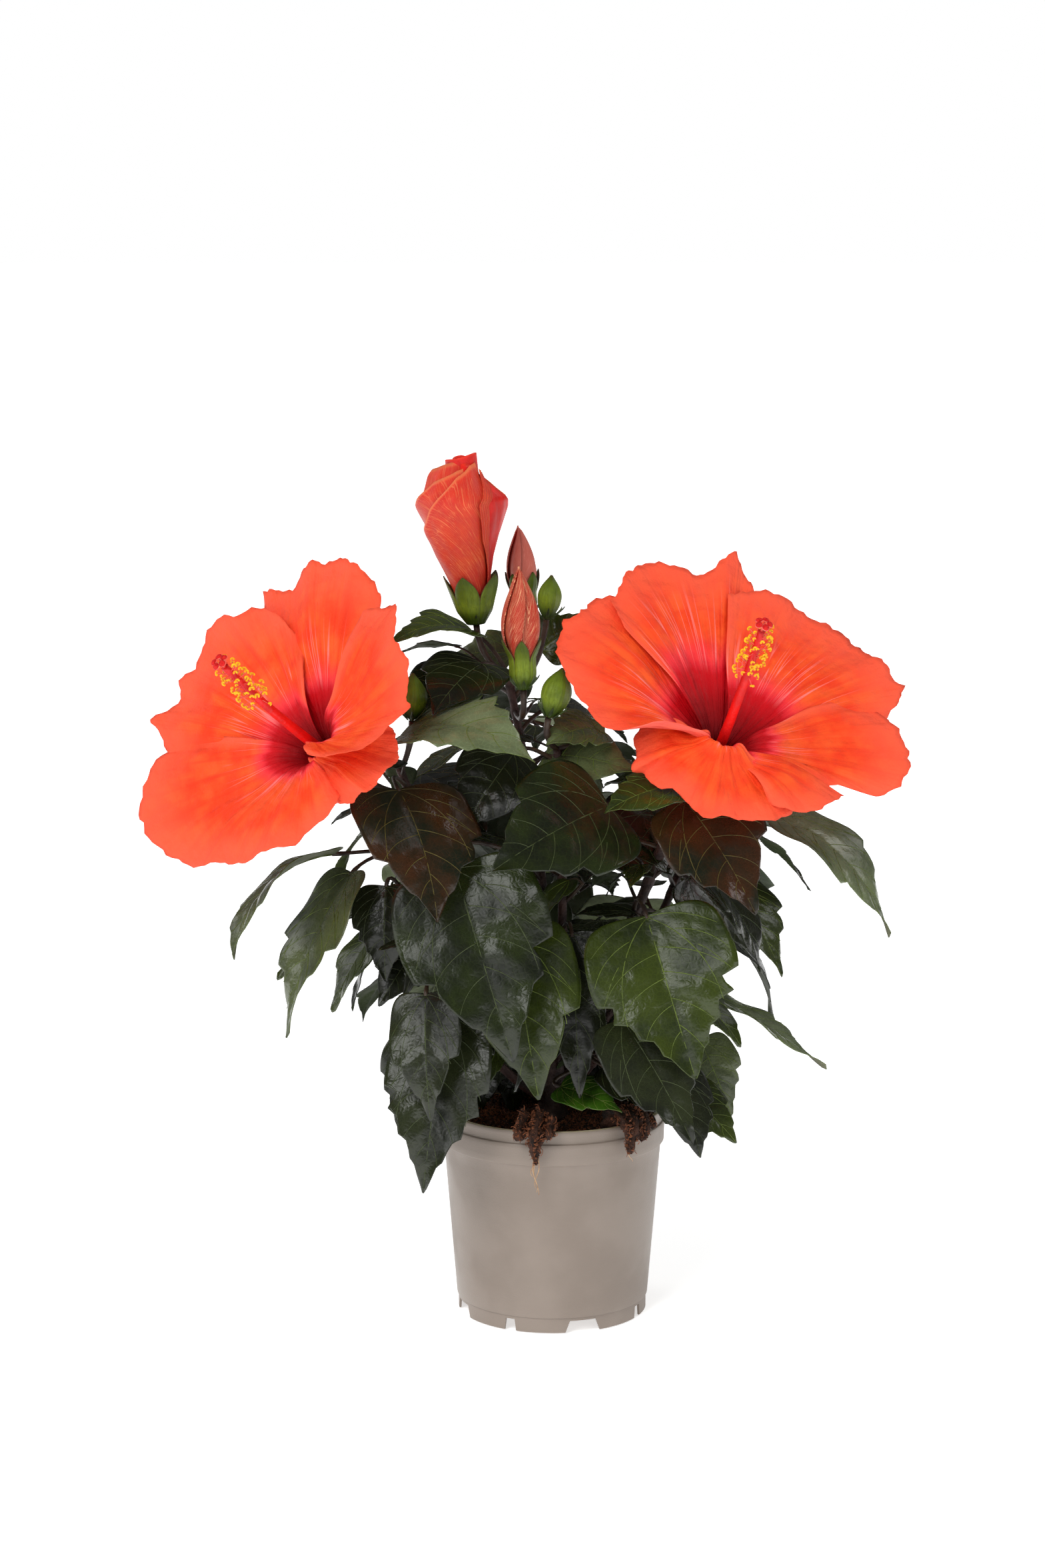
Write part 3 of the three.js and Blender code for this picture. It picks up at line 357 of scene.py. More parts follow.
def streaksGroup():  # lines that run up a petal's own map, thin where Low and High lie close
    tree, given, out = newGroup("streaks", [
        ("Map", "Vector", None), ("Count", "Float", 20.0), ("Stretch", "Float", 1.2), ("Seed", "Float", 0.0),
        ("Low", "Float", 0.55), ("High", "Float", 0.65)], [("Mask", "Float")])
    x, y, _ = apart(tree, given["Map"])
    where = joined(tree, times(tree, x, given["Count"]), times(tree, y, given["Stretch"]), given["Seed"])
    lines = noise(tree, where, 1.0, 2.5)["Fac"]
    tree.links.new(between(tree, lines, given["Low"], given["High"], kind="LINEAR"), out["Mask"])
    return tree


def veinLinesGroup():  # thin lines that wander, part and meet again: the ridges of a stretched noise
    tree, given, out = newGroup("veinLines", [
        ("Across", "Float", 0.0), ("Along", "Float", 0.0), ("Seed", "Float", 0.0), ("Width", "Float", 0.03)],
        [("Mask", "Float")])
    lines = noise(tree, joined(tree, given["Across"], given["Along"], given["Seed"]), 1.0, 1.0)["Fac"]
    tree.links.new(between(tree, fromMiddle(tree, lines), 0.0, given["Width"], 1.0, 0.0, "LINEAR"),
        out["Mask"])
    return tree


groups = {
    "patches": softPatchesGroup(), "crackle": crackleGroup(), "streaks": streaksGroup(),
    "veinLines": veinLinesGroup(),
}


def useGroup(tree, name, **inputs):
    made = tree.nodes.new("ShaderNodeGroup")
    made.node_tree = groups[name]
    for key, value in inputs.items():
        if isinstance(value, bpy.types.NodeSocket):
            tree.links.new(value, made.inputs[key])
        else:
            made.inputs[key].default_value = value
    return made.outputs


def newMaterial(name, **constants):  # returns the material, its tree, its shader and the object's coordinates
    material = bpy.data.materials.new(name)
    material.use_nodes = True
    tree = material.node_tree
    shader = tree.nodes["Principled BSDF"]
    for key, value in constants.items():
        shader.inputs[key.replace("_", " ")].default_value = value
    coordinates = tree.nodes.new("ShaderNodeTexCoord").outputs
    return material, tree, shader, coordinates


leafTints = {  # upper side, its shade, underside, and which veins show on it
    "green": [(48, 58, 15), (28, 37, 8), (92, 104, 60), "pale"],
    "inky": [(31, 39, 13), (14, 19, 6), (66, 78, 48), "dim"],
    "dark": [(22, 26, 9), (9, 12, 4), (58, 68, 42), "dim"],
    "bronze": [(54, 30, 12), (17, 22, 9), (88, 76, 50), "gold"],
    "blue": [(36, 41, 22), (17, 20, 11), (66, 76, 56), "dim"],
    # The next two tints are leaf greens made paler and greyer: painted sheen, the white reflection that
    # glossy leaves facing the light show.
    "grey": [(78, 86, 54), (50, 58, 34), (100, 104, 80), "pale"],
    "ashy": [(98, 108, 76), (70, 80, 52), (116, 118, 94), "pale"],
    "bright": [(50, 82, 16), (22, 50, 8), (106, 124, 56), "pale"],
}
veinColours = {"pale": (92, 108, 38), "gold": (88, 78, 30), "dim": (62, 72, 38)}
leafLook = {
    "patches": 42.0, "net": 400.0, "netWidth": 0.06, "netTint": 0.16,
    "drift": 0.002, "cells": 0.35, "cellDepth": 0.00009, "pucker": 95.0, "puckerDepth": 0.0013,
    "gloss": (0.24, 0.36), "dull": (0.6, 0.7),
}


def leafMaterial(name, colour, shade, upper=True):
    look = leafLook
    material, tree, shader, where = newMaterial(name, Specular_IOR_Level=0.5 if upper else 0.2)
    at = where["Object"]
    patches = useGroup(tree, "patches", Vector=at, Colour=rgb(*colour), Shade=rgb(*shade),
        Scale=look["patches"])
    net, cells = [useGroup(tree, "crackle", Vector=at, Scale=look["net"], Width=look[width],
        Drift=look["drift"])
                  for width in ("netWidth", "cells")]
    lighter = rgb(*[min(255, c * 1.5 + 10) for c in colour])
    low, high = look["gloss"] if upper else look["dull"]
    pucker = bump(tree, noise(tree, at, look["pucker"], 1.0)["Fac"], look["puckerDepth"])
    feed(tree, shader, Base_Color=blend(tree, times(tree, net["Lines"], look["netTint"]), patches["Colour"],
        lighter),
         Roughness=between(tree, patches["Mask"], 0.0, 1.0, low, high),
         Normal=bump(tree, cells["Height"], look["cellDepth"], 0.6, pucker))
    return material


def plainMaterial(name, colour, shade, roughness=0.5, scale=200.0, depth=0.0003):
    material, tree, shader, where = newMaterial(name)
    at = where["Object"]
    patches = useGroup(tree, "patches", Vector=at, Colour=rgb(*colour), Shade=rgb(*shade), Scale=scale)
    feed(tree, shader, Base_Color=patches["Colour"],
         Roughness=between(tree, patches["Mask"], 0.0, 1.0, roughness - 0.08, roughness + 0.1),
         Normal=bump(tree, noise(tree, at, scale * 6, 4.0)["Fac"], depth))
    return material


petalLook = {  # shares of the way from the foot of the tube to the margin, and the colours there
    "shadedWellAt": 0.12, "throat": 0.4, "crimson": 0.52, "magenta": 0.58, "coral": 0.67,
    # the near-black colour at the foot of the tube is partly the crimson eye and partly painted shade of the
    # deep funnel
    "rays": (0.5, 0.6, 0.66, 0.8), "well": (58, 0, 3), "deep": (146, 0, 8), "red": (190, 8, 20),
    "pink": (234, 48, 62), "body": (234, 72, 28), "warm": (240, 92, 38), "edge": (238, 86, 58),
    # the darker red-orange that follows the body colours is painted shade, the shade in the petals' folds,
    # laid on as streaks and blotches
    "dusk": (222, 44, 18), "pale": (248, 138, 136), "rayCount": 22.0, "rayWidth": 0.022, "bands": (9.0, 1.6),
    "lines": (26.0, 3.0), "pleats": (20.0, 3.0), "foldShadeBlotches": 70.0, "crumple": 62.0, "grain": 700.0,
}


def petalMaterial(name, look, back=False):
    material, tree, shader, where = newMaterial(
        name, Sheen_Weight=0.06, Sheen_Roughness=0.5, Specular_IOR_Level=0.2, Roughness=0.6)
    shader.inputs["Sheen Tint"].default_value = rgb(*look["pink"])
    colours = {kind: rgb(*value) for kind, value in look.items() if np.size(value) == 3}
    x, y, _ = apart(tree, where["UV"])

    def streaks(count, stretch, seed, low, high):
        return useGroup(tree, "streaks", Map=where["UV"], Count=count, Stretch=stretch, Seed=seed, Low=low,
            High=high)["Mask"]

    stain = node(tree, "ShaderNodeAttribute", attribute_name="stain").outputs["Fac"]
    wide = streaks(*look["bands"], 0.0, 0.2, 0.8)
    along = times(tree, sums(tree, "MULTIPLY_ADD", sums(tree, "SUBTRACT", wide, 0.5), 0.1, y), stain)
    body = blend(tree, wide, colours["body"], colours["warm"])
    # painted shade of the petals' folds: darker streaks, then darker blotches
    body = blend(tree, times(tree, streaks(*look["lines"], 4.0, 0.5, 0.7), 0.6), body, colours["dusk"])
    body = useGroup(tree, "patches", Vector=where["Object"], Colour=body, Shade=colours["dusk"],
                    Scale=look["foldShadeBlotches"], Amount=0.7)["Colour"]
    rim = sums(tree, "MAXIMUM", between(tree, fromMiddle(tree, x), 0.4, 0.5), between(tree, y, 0.8, 1.0))
    body = blend(tree, times(tree, rim, 0.9), body, colours["edge"])
    if back:
        colour = blend(tree, 0.3, body, colours["pale"])
    else:
        # near black at the foot of the tube: partly the crimson eye, partly painted shade of the deep funnel
        inner = ramp(tree, along, (look["shadedWellAt"], colours["well"]), (look["throat"], colours["deep"]),
                     (look["crimson"], colours["red"]), (look["magenta"], colours["pink"]))
        colour = blend(tree, between(tree, along, look["magenta"] - 0.05, look["coral"]), inner, body)
        rays = useGroup(tree, "veinLines", Across=times(tree, x, look["rayCount"]), Along=y, Seed=9.0,
                        Width=look["rayWidth"])["Mask"]
        rise, full, fade, end = look["rays"]
        window = times(tree, between(tree, along, rise, full), between(tree, along, end, fade))
        colour = blend(tree, times(tree, rays, times(tree, window, 0.66)), colour, colours["pale"])
    crumple = noise(tree, where["Object"], look["crumple"])["Fac"]
    grain = noise(tree, where["Object"], look["grain"], 3.0)["Fac"]
    pleats = streaks(*look["pleats"], 2.0, 0.2, 0.8)
    fine = sums(tree, "MULTIPLY_ADD", grain, 0.35, pleats)
    feed(tree, shader, Base_Color=colour,
        Normal=bump(tree, fine, 0.0014, 0.7, bump(tree, crumple, 0.005, 0.8)))
    return material


budLooks = {  # a furled petal's colours from its foot up, its veins, how they slant and how many they are
    "outer": dict(low=(178, 36, 34), middle=(196, 56, 22), top=(204, 50, 32), vein=(236, 138, 86), slant=0.9,
                  count=42.0, amount=0.5),
    "deep": dict(low=(150, 12, 8), middle=(188, 14, 6), top=(216, 26, 16), vein=(220, 66, 44), slant=0.5,
                 count=14.0, amount=0.15),
    "coral": dict(low=(148, 30, 18), middle=(172, 42, 24), top=(178, 50, 36), vein=(248, 190, 142),
                  slant=-1.0, count=24.0, amount=0.8),
    "dusty": dict(low=(176, 84, 70), middle=(186, 96, 80), top=(172, 84, 72), vein=(216, 142, 124),
                  slant=-1.0, count=20.0, amount=0.45),
    "sepal": dict(low=(52, 70, 10), middle=(116, 134, 30), top=(72, 90, 16), vein=(42, 50, 8), slant=0.0,
                  count=7.0, amount=0.38),
}


def budMaterial(name, look):  # its veins lean across it, or with a slant below nought meet on its middle line
    material, tree, shader, where = newMaterial(name, Specular_IOR_Level=0.3)
    x, y, _ = apart(tree, where["UV"])
    stops = [(share, rgb(*look[part])) for share, part in ((0.1, "low"), (0.4, "middle"), (0.95, "top"))]
    patches = useGroup(tree, "patches", Vector=where["Object"], Colour=ramp(tree, y, *stops),
                       Shade=rgb(*look["low"]), Scale=120.0, Amount=0.5)
    if look["slant"] < 0:
        across, along = sums(tree, "MULTIPLY_ADD", fromMiddle(tree, x), look["slant"], y), times(tree, x, 2.0)
    else:
        across, along = sums(tree, "MULTIPLY_ADD", y, look["slant"], x), times(tree, y, 2.6)
    across = times(tree, across, look["count"])
    veins = useGroup(tree, "veinLines", Across=across, Along=along, Seed=6.0, Width=0.028)["Mask"]
    finer = useGroup(tree, "veinLines", Across=times(tree, across, 2.4), Along=times(tree, along, 3.0),
                     Seed=1.0, Width=0.03)["Mask"]
    both = sums(tree, "MAXIMUM", veins, times(tree, finer, 0.45))
    lined = blend(tree, times(tree, both, look["amount"]), patches["Colour"], rgb(*look["vein"]))
    rim = times(tree, between(tree, y, 0.96, 0.995), 0.5)
    feed(tree, shader, Base_Color=blend(tree, rim, lined, rgb(*look["vein"])),
         Roughness=between(tree, both, 0.0, 1.0, 0.42, 0.55), Normal=bump(tree, both, 0.0002, 0.5))
    return material


finishes = {
    "bark": plainMaterial("barkSkin", (62, 38, 32), (34, 20, 18), 0.6, 160.0, 0.0006),
    "stalk": plainMaterial("stalkSkin", (58, 42, 28), (36, 22, 18), 0.5, 120.0),
    "peat": plainMaterial("peat", (72, 40, 24), (26, 14, 9), 0.95, 260.0, 0.0015),
    "crumb": plainMaterial("peatCrumb", (122, 70, 40), (34, 18, 11), 0.9, 420.0, 0.001),
    "fibre": plainMaterial("peatFibre", (146, 84, 50), (84, 42, 24), 0.9, 300.0),
    "root": plainMaterial("paleRoot", (190, 154, 116), (146, 104, 72), 0.8, 300.0),
    "petalFace": petalMaterial("petalFace", petalLook),
    "petalBack": petalMaterial("petalBack", petalLook, back=True),
    "column": plainMaterial("columnRed", (226, 16, 12), (190, 6, 8), 0.42, 90.0),
    "filament": plainMaterial("filamentPink", (246, 110, 96), (236, 80, 70), 0.5, 300.0),
    "anther": plainMaterial("antherYellow", (255, 200, 20), (250, 160, 10), 0.75, 900.0, 0.0003),
    "stigma": plainMaterial("stigmaRed", (224, 16, 12), (186, 4, 6), 0.8, 900.0, 0.0003),
    "stigmaRim": plainMaterial("stigmaRim", (244, 120, 104), (236, 84, 72), 0.6, 400.0),
    "sepalEdge": plainMaterial("sepalEdge", (84, 58, 26), (60, 50, 20), 0.5, 200.0),
    "bract": plainMaterial("bractGreen", (58, 74, 26), (38, 50, 20), 0.5, 160.0),
}
for kind, look in budLooks.items():
    finishes[kind] = budMaterial(kind + "Skin", look)
for tint, (upper, shade, under, veins) in leafTints.items():
    finishes[tint] = leafMaterial("leaf" + tint.title(), upper, shade)
    finishes[tint + "Under"] = leafMaterial("leaf" + tint.title() + "Under", under, [c * 0.8 for c in under],
        False)
for veins, colour in veinColours.items():
    finishes[veins] = plainMaterial(veins + "Veins", colour, [c * 0.8 for c in colour], 0.5, 200.0)
print("materials made:", len(finishes))


# Shoots: foot, bend and tip of each limb, its radius at foot and tip, and how its leaves follow the rule

shoots = {
    "left": dict(foot=(-4, 3, 138), bend=(-42, -2, 190), tip=(-80, -28, 298), radius=(3, 1.9), bare=0.5,
                 grow=dict(count=5, start=0.56, end=0.9, heading=120, size=(54, 76), seed=11)),
    "right": dict(foot=(4, 2, 134), bend=(34, -26, 190), tip=(66, -30, 282), radius=(3.4, 2.4), bare=0.45,
                  grow=dict(count=5, start=0.55, end=0.93, heading=20, size=(62, 82), seed=23)),
    "centre": dict(foot=(0, 4, 148), bend=(-2, 8, 235), tip=(-24, -6, 345), radius=(3.2, 1.9), bare=0.45,
                   grow=dict(count=9, start=0.47, end=0.9, heading=70, size=(50, 76), seed=5)),
    "front": dict(foot=(1, 0, 144), bend=(8, -34, 205), tip=(2, -34, 308), radius=(2.8, 1.8), bare=0.3,
                  grow=dict(count=2, start=0.7, end=0.9, heading=60, size=(44, 56), seed=31)),
    "lowLeft": dict(foot=(-4, 2, 113), bend=(-40, -18, 138), tip=(-62, -44, 200), radius=(2.6, 1.6),
                    bare=0.35, grow=dict(count=5, start=0.45, end=1, heading=150, size=(46, 62), seed=47)),
    "lowRight": dict(foot=(4, 2, 116), bend=(28, -24, 138), tip=(42, -44, 192), radius=(2.6, 1.6), bare=0.35,
                     grow=dict(count=4, start=0.45, end=1, heading=20, size=(46, 62), seed=59)),
    "backLeft": dict(foot=(-4, 6, 126), bend=(-44, 30, 168), tip=(-80, 56, 272), radius=(2.9, 1.8), bare=0.4,
                     grow=dict(count=10, start=0.44, end=1, heading=95, size=(66, 90), seed=61)),
    "backRight": dict(foot=(4, 6, 123), bend=(46, 30, 165), tip=(82, 48, 262), radius=(2.9, 1.8), bare=0.4,
                      grow=dict(count=10, start=0.44, end=1, heading=60, size=(66, 90), seed=73)),
    "lowBack": dict(foot=(1, 7, 113), bend=(8, 36, 132), tip=(12, 64, 196), radius=(2.6, 1.6), bare=0.35,
                    grow=dict(count=7, start=0.4, end=1, heading=60, size=(52, 72), seed=97)),
    "back": dict(foot=(0, 8, 140), bend=(8, 52, 185), tip=(4, 70, 302), radius=(2.9, 1.8), bare=0.35,
                 grow=dict(count=12, start=0.4, end=1, heading=90, size=(66, 92), seed=89)),
}

# The leaves that show from the front: place along the shoot, stalk (heading, rise, length), blade (heading,
# rise, roll), length and width, curl, tint.
frontLeaves = {
    "left": [
        (0.95, (266, 7, 41), (300, -34, 0), (76, 68), 45, "bronze"),
        (0.78, (183, -3, 51), (199, -2, 14), (84, 58), 80, "grey"),
        (0.75, (197, -6, 46), (216, -47, 9), (94, 56), 30, "grey"),
        (0.99, (266, 53, 23), (312, 32, 23), (92, 62), 75, "ashy"),
    ],
    "right": [
        (0.62, (277, 13, 44), (297, -55, 30), (88, 76), 25, "green"),
        (0.98, (273, 14, 31), (321, -41, 26), (70, 60), 30, "bronze"),
        (0.85, (174, 17, 33), (3, -11, 46), (64, 50), 30, "dark"),
    ],
    "centre": [
        (0.99, (39, 26, 25), (353, 44, 77), (30, 28), 20, "green"),
        (0.99, (177, 51, 29), (213, 26, -11), (48, 42), 60, "green"),
        (0.97, (87, 33, 24), (169, 4, -44), (36, 28), 25, "grey"),
        (0.94, (148, 11, 30), (222, -11, -30), (42, 42), 25, "dark"),
        (0.98, (226, 27, 22), (238, -9, -13), (48, 48), 40, "dark"),
    ],
    "front": [
        (0.65, (218, 10, 71), (303, -59, 34), (104, 78), 22, "inky"),
        (0.45, (234, 15, 48), (290, -62, 21), (90, 62), 20, "green"),
        (0.47, (281, 9, 25), (277, -68, 7), (86, 38), 20, "dark"),
        (0.83, (310, 13, 39), (231, -5, -44), (80, 68), 40, "inky"),
        (0.84, (329, 15, 70), (211, 2, -24), (42, 34), 40, "green"),
        (0.98, (143, 2, 8), (324, 7, 42), (52, 46), 35, "grey"),
        (1, (10, 24, 24), (223, 16, -27), (34, 34), 60, "grey"),
        (0.96, (190, 17, 24), (221, -42, -39), (50, 44), 25, "dark"),
    ],
    "lowLeft": [
        (1, (160, 54, 45), (261, -66, 9), (50, 34), 25, "dark"),
        (0.96, (130, 19, 19), (220, -42, -33), (36, 28), 25, "dark"),
        (0.75, (261, 5, 29), (248, -65, -13), (93, 54), 20, "blue"),
        (0.9, (256, -1, 33), (267, -62, 15), (66, 38), 25, "blue"),
    ],
    "lowRight": [
        (0.78, (269, 7, 37), (317, -43, 29), (74, 48), 30, "blue"),
        (0.57, (315, -10, 46), (308, -49, 15), (48, 34), 30, "blue"),
        (0.43, (329, -11, 53), (327, -29, 34), (40, 28), 30, "green"),
        (0.55, (2, 2, 50), (319, -56, 38), (44, 30), 30, "grey"),
        (0.38, (239, -9, 34), (325, -1, 26), (38, 26), 30, "bright"),
        (0.43, (278, 5, 29), (327, -17, 23), (54, 30), 30, "dark"),
    ],
    "backLeft": [
        (0.57, (220, 9, 62), (205, -49, 2), (46, 36), 20, "grey"),
    ],
    "backRight": [
        (0.42, (322, 4, 59), (356, -25, -2), (72, 44), 15, "ashy"),
        (0.95, (304, 14, 70), (344, -17, 9), (92, 54), 60, "ashy"),
        (0.78, (277, 16, 47), (334, -34, 20), (50, 46), 30, "blue"),
    ],
}
# dark leaves that hang between the crown and the soil, from the shoot at the back: painted shade, dark leaves
# put where that deep inner space lies in shade
shadeFillLeaves = [
    (0.3, (200, -10, 26), (262, -80, 0), (70, 52), 12, "dark"),
    (0.3, (340, -10, 26), (278, -80, 0), (70, 52), 12, "dark"),
    (0.12, (180, -5, 40), (255, -78, 0), (48, 38), 12, "dark"),
    (0.12, (0, -5, 40), (285, -78, 0), (48, 38), 12, "dark"),
    (0.2, (90, 0, 10), (270, -80, 0), (62, 58), 12, "dark"),
    (0.4, (150, -8, 34), (250, -76, 0), (78, 56), 12, "dark"),
    (0.4, (30, -8, 34), (290, -76, 0), (78, 56), 12, "dark"),
]
bladeShape = {"trough": 0.16, "thick": 0.4, "gap": 6.5, "tries": 13}
youngLeaves = {  # smaller leaves on side twigs, which the bare rule is too coarse for
    "twigs": 7, "perTwig": 3, "turn": 137.5, "leafTurn": 132, "width": 0.62, "reach": (14, 30),
    "size": (20, 36), "gap": 3.6, "tries": 6, "seed": 401, "start": 0.35,
}


def shootAt(name, t):
    s = shoots[name]
    return bezier(vec(*s["foot"]), vec(*s["bend"]), vec(*s["tip"]), t)


def leafAxes(az, rise, roll):  # along the blade, up out of its upper face, and sideways
    along = heading(az, rise)
    up = unit(vec(0, 0, 1) - along * along[2])
    side = np.cross(along, up)
    r = math.radians(roll)
    rolledUp = up * math.cos(r) + side * math.sin(r)
    return along, rolledUp, np.cross(along, rolledUp)


def marginAt(s):  # half a blade's outline: how far along and how far out it is at share s round it
    along = s ** 1.4 - 0.07 * np.sin(np.pi * np.minimum(1, s / 0.45))
    out = np.sin(np.pi * np.minimum(s, 0.999999) ** 0.8) ** 0.75 * (1 - 0.4 * smooth(s, 0.62, 0.96))
    return along, out


def bladePoint(leaf, t, out, lift=0.0):  # t is a share of the length along the midrib, out is sideways
    length, width = leaf["size"]
    along, up, side = leaf["axes"]
    curl = max(0.02, math.radians(leaf["curl"]))
    c = np.cos(curl * t)[..., None]
    k = np.sin(curl * t)[..., None]
    trough = bladeShape["trough"] * (np.abs(out) - 1.1 * out * out / width)
    normal = up * c + along * k
    return (leaf["seat"] + along * (length * k / curl) - up * (length * (1 - c) / curl)
            + side * out[..., None] + normal * (trough + lift)[..., None])


def bladeMap(leaf, s, v):  # a blade's row s and share v across it, as t and out
    rib = np.where(s < 0.3, 0.2 * s, 0.06 + 0.94 * (np.maximum(s - 0.3, 0) / 0.7) ** 1.1)
    along, out = marginAt(s)
    return rib + (along - rib) * np.abs(v) ** 1.3, v * out * leaf["size"][1] / 2


def stalkAt(leaf, t):  # the stalk swings from the stem into the line of the blade
    bow = leaf["seat"] - leaf["axes"][0] * 0.45 * np.linalg.norm(leaf["root"] - leaf["seat"])
    end = bladePoint(leaf, *bladeMap(leaf, vec(0.18), vec(0.0)))[0]
    return bezier(leaf["root"], bow, end, t)


def makeLeaf(root, stalk, blade, size, curl, tint):
    leaf = {"root": root, "axes": leafAxes(*blade), "size": size, "curl": curl, "tint": tint}
    leaf["seat"] = root + heading(stalk[0], stalk[1]) * stalk[2]
    return leaf


dotRows = [
    (s, v) for s in (0.08, 0.2, 0.32, 0.44, 0.56, 0.68, 0.8, 0.9)
    for v in (-1, -0.66, -0.33, 0, 0.33, 0.66, 1)
]
dotShares = np.array(dotRows + [(1, 0)], float)


def leafDots(leaf):  # dots spread over a blade, by which a growing leaf feels what is near it
    return bladePoint(leaf, *bladeMap(leaf, dotShares[:, 0], dotShares[:, 1]))


def steps(start, count):
    return start + (1 - start) * np.arange(count + 1) / count


class Taken:  # the places that something has already grown in, and whose they are
    def __init__(self):
        self.points = np.zeros((60000, 3))
        self.owners = np.zeros(60000, int)
        self.names = {}
        self.count = 0

    def add(self, owner, points):
        end = self.count + len(points)
        self.points[self.count:end] = points
        self.owners[self.count:end] = self.names.setdefault(owner, len(self.names))
        self.count = end

    def near(self, dots, gap, notOwner=None):
        points = self.points[:self.count]
        if notOwner is not None:
            points = points[self.owners[:self.count] != self.names.get(notOwner, -1)]
        low, high = dots.min(0) - gap, dots.max(0) + gap
        points = points[((points > low) & (points < high)).all(1)]
        apart = ((dots[:, None] - points[None]) ** 2).sum(-1)
        return bool((apart < gap * gap).any())


def isClear(name, leaf, taken, gap):
    dots = leafDots(leaf)
    near = np.hypot(dots[:, 0], dots[:, 1]) < potShape["topRadius"] + 5
    inPot = near & (dots[:, 2] < potShape["height"] + 5)
    if inPot.any() or (dots[:, 2] <= 20).any() or taken.near(dots, gap):
        return False
    return not taken.near(stalkAt(leaf, steps(0.3, 4)), gap, name)


def growLeaves(name, taken):  # each turns 144 degrees from the last, larger and more drooping lower down
    grow = shoots[name]["grow"]
    chance = randomFrom(grow["seed"])
    kept = []
    for k in range(grow["count"]):
        share = k / max(1, grow["count"] - 1)
        length = mix(grow["size"][1], grow["size"][0], share) + 6 * (next(chance) - 0.5)
        az = grow["heading"] + 144 * k + 30 * (next(chance) - 0.5)
        reach = 20 + 18 * next(chance)
        droop = -38 + 40 * share + 16 * (next(chance) - 0.5)
        curl = 22 + 34 * next(chance)
        roll = 36 * (next(chance) - 0.5)
        width = length * (0.62 + 0.14 * next(chance))
        root = shootAt(name, vec(grow["start"] + (grow["end"] - grow["start"]) * share))[0]
        tint = ("dark", "green", "dark", "blue", "green")[(k + grow["seed"]) % 5]
        for n in range(bladeShape["tries"]):
            swing = 21 * math.ceil(n / 2) * (1 if n % 2 else -1)
            smaller = 1 - 0.02 * n
            leaf = makeLeaf(root, (az + swing, 30 - 3 * n, reach), (az + swing, droop - 3 * n, roll),
                            (length * smaller, width * smaller), curl, tint)
            if isClear(name, leaf, taken, bladeShape["gap"]):
                kept.append(leaf)
                taken.add(name, leafDots(leaf))
                taken.add(name, stalkAt(leaf, steps(0.2, 5)))
                break
    return kept


def growTwigs(name, taken, low, high):  # side twigs of young leaves, in what room the shoot has left
    look = youngLeaves
    chance = randomFrom(look["seed"] + shoots[name]["grow"]["seed"])
    twigs, kept = [], []
    for k in range(look["twigs"]):
        share = look["start"] + (0.98 - look["start"]) * k / (look["twigs"] - 1)
        root = shootAt(name, vec(share))[0]
        az = look["turn"] * k + 60 * next(chance) + shoots[name]["grow"]["heading"]
        reach = mix(*look["reach"], next(chance))
        tip = root + heading(az, 18 + 40 * next(chance)) * reach
        bow = (root + tip) / 2 + vec(0, 0, -0.14 * reach)
        grown = []
        for j in range(look["perTwig"]):
            length = mix(*look["size"], next(chance))
            for n in range(look["tries"]):
                turn = az + look["leafTurn"] * (j - 1) + 47 * n
                at = bezier(root, bow, tip, vec(1 - 0.3 * j))[0]
                stalk = (turn, 24 - 6 * j, 6 + 5 * next(chance))
                blade = (turn, 14 - 20 * j - 4 * n, 30 * (next(chance) - 0.5))
                leaf = makeLeaf(at, stalk, blade, (length, length * look["width"]), 20 + 20 * next(chance),
                                ("dark", "green")[(j + k) % 2])
                dots = leafDots(leaf)
                inside = (dots.min(0) > low + 2).all() and (dots.max(0) < high - 2).all()
                if inside and isClear(name, leaf, taken, look["gap"]):
                    grown.append(leaf)
                    taken.add(name, dots)
                    break
        if grown:
            twigs.append((root, bow, tip))
            kept += grown
    return twigs, kept


# Blooms

